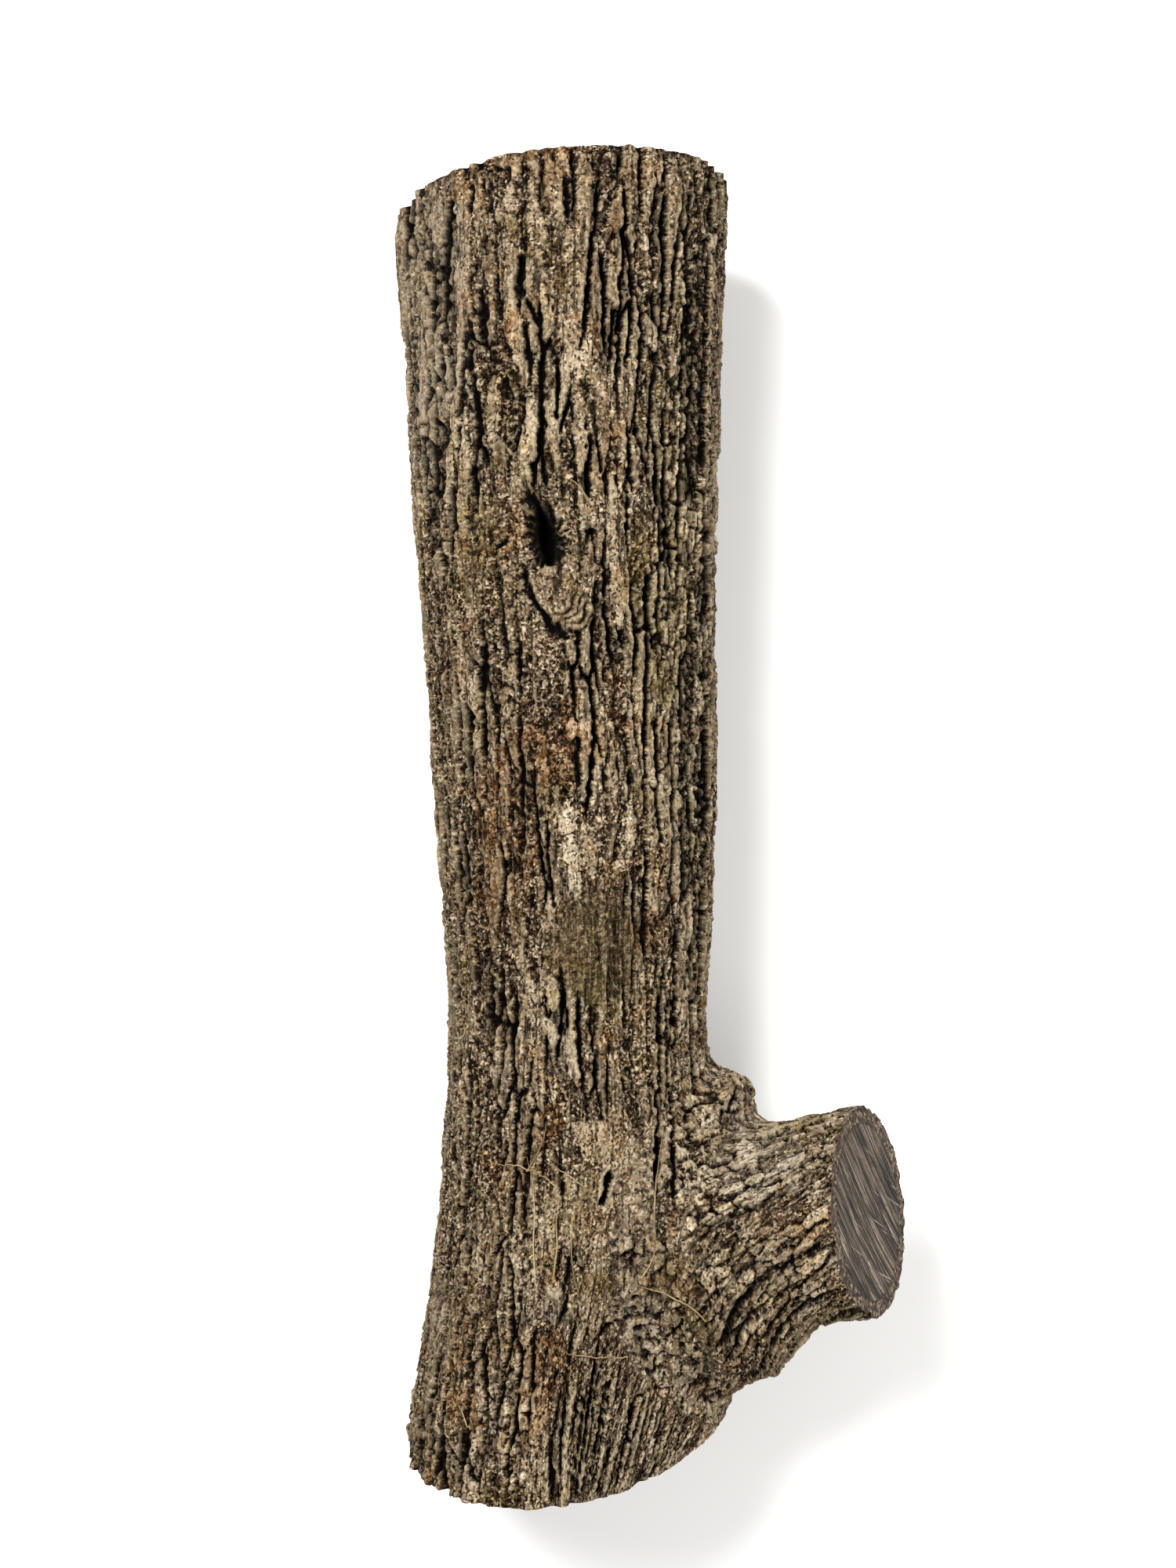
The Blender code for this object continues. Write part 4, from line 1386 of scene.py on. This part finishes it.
def wood_material(name, heart, sap, rings):
    """Weathered sawn wood: streaked saw marks, faint rings, and the bark's dark ring round it."""
    graph = Graph(name)
    place = graph.place()
    flat = graph.attribute("flat", "Vector")
    share = graph.separate(flat)[2]
    streak = graph.noise(graph.scaled(flat, (1.0, 0.020, 0.0)), 340.0, 3.0, 0.75)
    fine_streak = graph.noise(graph.scaled(flat, (1.0, 0.025, 0.0)), 640.0, 3.0, 0.75)
    crossed = graph.turned(flat, 0.42)
    scratch = graph.noise(graph.scaled(crossed, (1.0, 0.022, 0.0)), 520.0, 2.0, 0.6)
    broad_streak = graph.noise(graph.scaled(flat, (1.0, 0.08, 0.0)), 110.0, 3.0, 0.6)
    fine = graph.noise(place, 480.0, 3.0, 0.75)
    medium = graph.noise(place, 230.0, 3.0, 0.75)
    broad = graph.noise(place, 45.0, 3.0, 0.6)
    crumb = graph.cell(place, 420.0)[0]
    waver = graph.math("MULTIPLY", graph.noise(place, 30.0, 2.0, 0.5), 0.05)
    outward_share = graph.math("ADD", share, waver)
    ring = graph.math("SINE", graph.math("MULTIPLY", outward_share, rings))
    marks = ((streak, 0.44), (fine_streak, 0.34), (broad_streak, 0.14), (fine, 0.08))
    colour = graph.ramp(graph.weighted(marks), tuple(zip((0.440, 0.495, 0.560), heart)))
    outer = graph.math("MULTIPLY", graph.span(outward_share, 0.80, 0.86), 0.35)
    colour = graph.laid(graph.mix(outer, colour, sap, "SOFT_LIGHT"), (
        (broad, 0.40, 0.62, 0.45, (112, 92, 78), "SOFT_LIGHT"),
        (ring, 0.2, 1.0, 0.22, (60, 48, 38), "MIX"),
        (broad_streak, 0.53, 0.63, 0.55, (46, 36, 29), "MIX"),
        (fine_streak, 0.60, 0.70, 0.75, (184, 170, 154), "MIX"),
        (scratch, 0.65, 0.71, 0.60, (178, 164, 148), "MIX"),
        (scratch, 0.37, 0.31, 0.60, (34, 26, 20), "MIX"),
    ))
    grain = graph.math("SUBTRACT", fine, 0.5)
    edge = graph.weighted(((graph.attribute("rim"), 1.0), (grain, 0.006)))
    bark = graph.ramp(graph.weighted(((fine, 0.35), (medium, 0.40), (crumb, 0.25))), (
        (0.34, (12, 7, 4)), (0.45, (46, 34, 25)), (0.56, (86, 71, 56)), (0.68, (142, 127, 108)),
    ))
    colour = graph.laid(colour, (
        (edge, 0.0150, 0.0141, 1.0, (30, 20, 13), "MIX"),
        (edge, 0.0139, 0.0130, 1.0, bark, "MIX"),
    ))
    height = graph.weighted(((streak, 0.8), (fine_streak, 0.5), (fine, 0.3), (ring, 0.04)))
    return graph.finished(colour, graph.span(fine, 0.3, 0.7, 0.74, 0.92), 0.20, height, WOOD_BUMP)


def straw_material():
    """Dry grass: straw yellow to grey-brown along each blade."""
    graph = Graph("dry_grass")
    place = graph.place()
    fine = graph.noise(place, 500.0, 3.0, 0.6)
    broad = graph.noise(place, 40.0, 2.0, 0.5)
    colour = graph.ramp(broad, ((0.35, (98, 78, 48)), (0.50, (136, 114, 76)), (0.65, (170, 148, 108))))
    colour = graph.laid(colour, ((fine, 0.55, 0.35, 0.5, (92, 68, 38), "MIX"),))
    return graph.finished(colour, 0.7, 0.5, fine, STRAW_BUMP)


def strand_path(line, reach):
    """The line over the bark that a strand lies on: on the high spots, bridging the hollows."""
    line = np.array(line, float)
    lengths = np.concatenate([[0.0], np.cumsum(np.linalg.norm(np.diff(line, axis=0), axis=1))])
    marks = np.linspace(0.0, lengths[-1], max(8, int(lengths[-1] / 3)))
    rows = np.stack([np.interp(marks, lengths, line[:, k]) for k in range(2)], axis=1)
    for _ in range(6):
        rows[1:-1] = (rows[:-2] + 2 * rows[1:-1] + rows[2:]) / 4
    found = []
    for column, row in rows:
        aim = np.array([column - FRAME_MIDDLE[0], FRAME_MIDDLE[1] - row]) * FRAME_PIXEL
        way = Vector((aim[0], aim[1], -CAMERA_HEIGHT)).normalized()
        hit, spot_hit, *_ = bpy.context.scene.ray_cast(reach, Vector(EYE), way)
        if hit:
            found.append(np.array(spot_hit))
    path = np.array(found)
    height = path[:, 2].copy()
    wide = np.pad(height, 3, mode="edge")
    height = np.max([wide[k:k + len(height)] for k in range(7)], axis=0)
    for _ in range(6):
        height[1:-1] = (height[:-2] + 2 * height[1:-1] + height[2:]) / 4
    path[:, 2] = height + STRAND_RADIUS
    return path


def grass(material):
    """All strands as one mesh of thin tapered tubes."""
    bpy.context.view_layer.update()
    reach = bpy.context.evaluated_depsgraph_get()
    lines = []
    for line in STRANDS:
        path = strand_path(line, reach)
        share = np.arange(len(path)) / (len(path) - 1)
        lines.append((path, 0.45 + 0.75 * share * (2.0 - share)))
    mesh = tubes("dry_grass", STRAND_RADIUS, 1, lines)
    mesh.materials.clear()
    mesh.materials.append(material)
    piece = add_object("dry_grass", mesh)
    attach(piece, "root")


def studio():
    """Pale floor, soft light and the camera straight above."""
    bpy.ops.mesh.primitive_plane_add(size=FLOOR_SIZE)
    floor = bpy.context.object
    floor.name = "floor"
    graph = Graph("pale_floor")
    graph.shader.inputs["Base Color"].default_value = FLOOR_COLOUR
    graph.shader.inputs["Roughness"].default_value = 0.9
    floor.data.materials.append(graph.material)
    scene = bpy.context.scene
    scene.world = bpy.data.worlds.new("studio")
    scene.world.use_nodes = True
    sky = scene.world.node_tree.nodes["Background"]
    sky.inputs["Color"].default_value = SKY_COLOUR
    sky.inputs["Strength"].default_value = SKY_STRENGTH
    for name, place, size, power in LIGHTS:
        light = bpy.data.lights.new(name, "AREA")
        light.size = size
        light.energy = power
        holder = add_object(name, light)
        holder.location = place
        holder.rotation_euler = (-Vector(place)).to_track_quat("-Z", "Y").to_euler()
    camera = bpy.data.cameras.new("camera")
    camera.sensor_width = SENSOR
    camera.lens = SENSOR * CAMERA_HEIGHT / (FRAME_TALL * FRAME_PIXEL)
    scene.camera = add_object("camera", camera)
    scene.camera.location = EYE
    scene.view_settings.view_transform = "Standard"


def dress():
    """Makes the log's pieces, the grass and the studio."""
    log = grow_log()
    materials = [
        bark_material(),
        wood_material("sawn_trunk", TRUNK_WOOD, TRUNK_SAP, TRUNK_RINGS),
        wood_material("sawn_branch", BRANCH_WOOD, BRANCH_SAP, BRANCH_RINGS),
    ]
    owner = sections(log)
    caps = shared_edges(log, owner)
    names = [f"log_part_{k + 1}" for k in range(BRANCH_PIECE)] + ["log_branch"]
    for number, name in enumerate(names):
        make_piece(log, name, number, owner, caps, materials)
    grass(straw_material())
    studio()


dress()
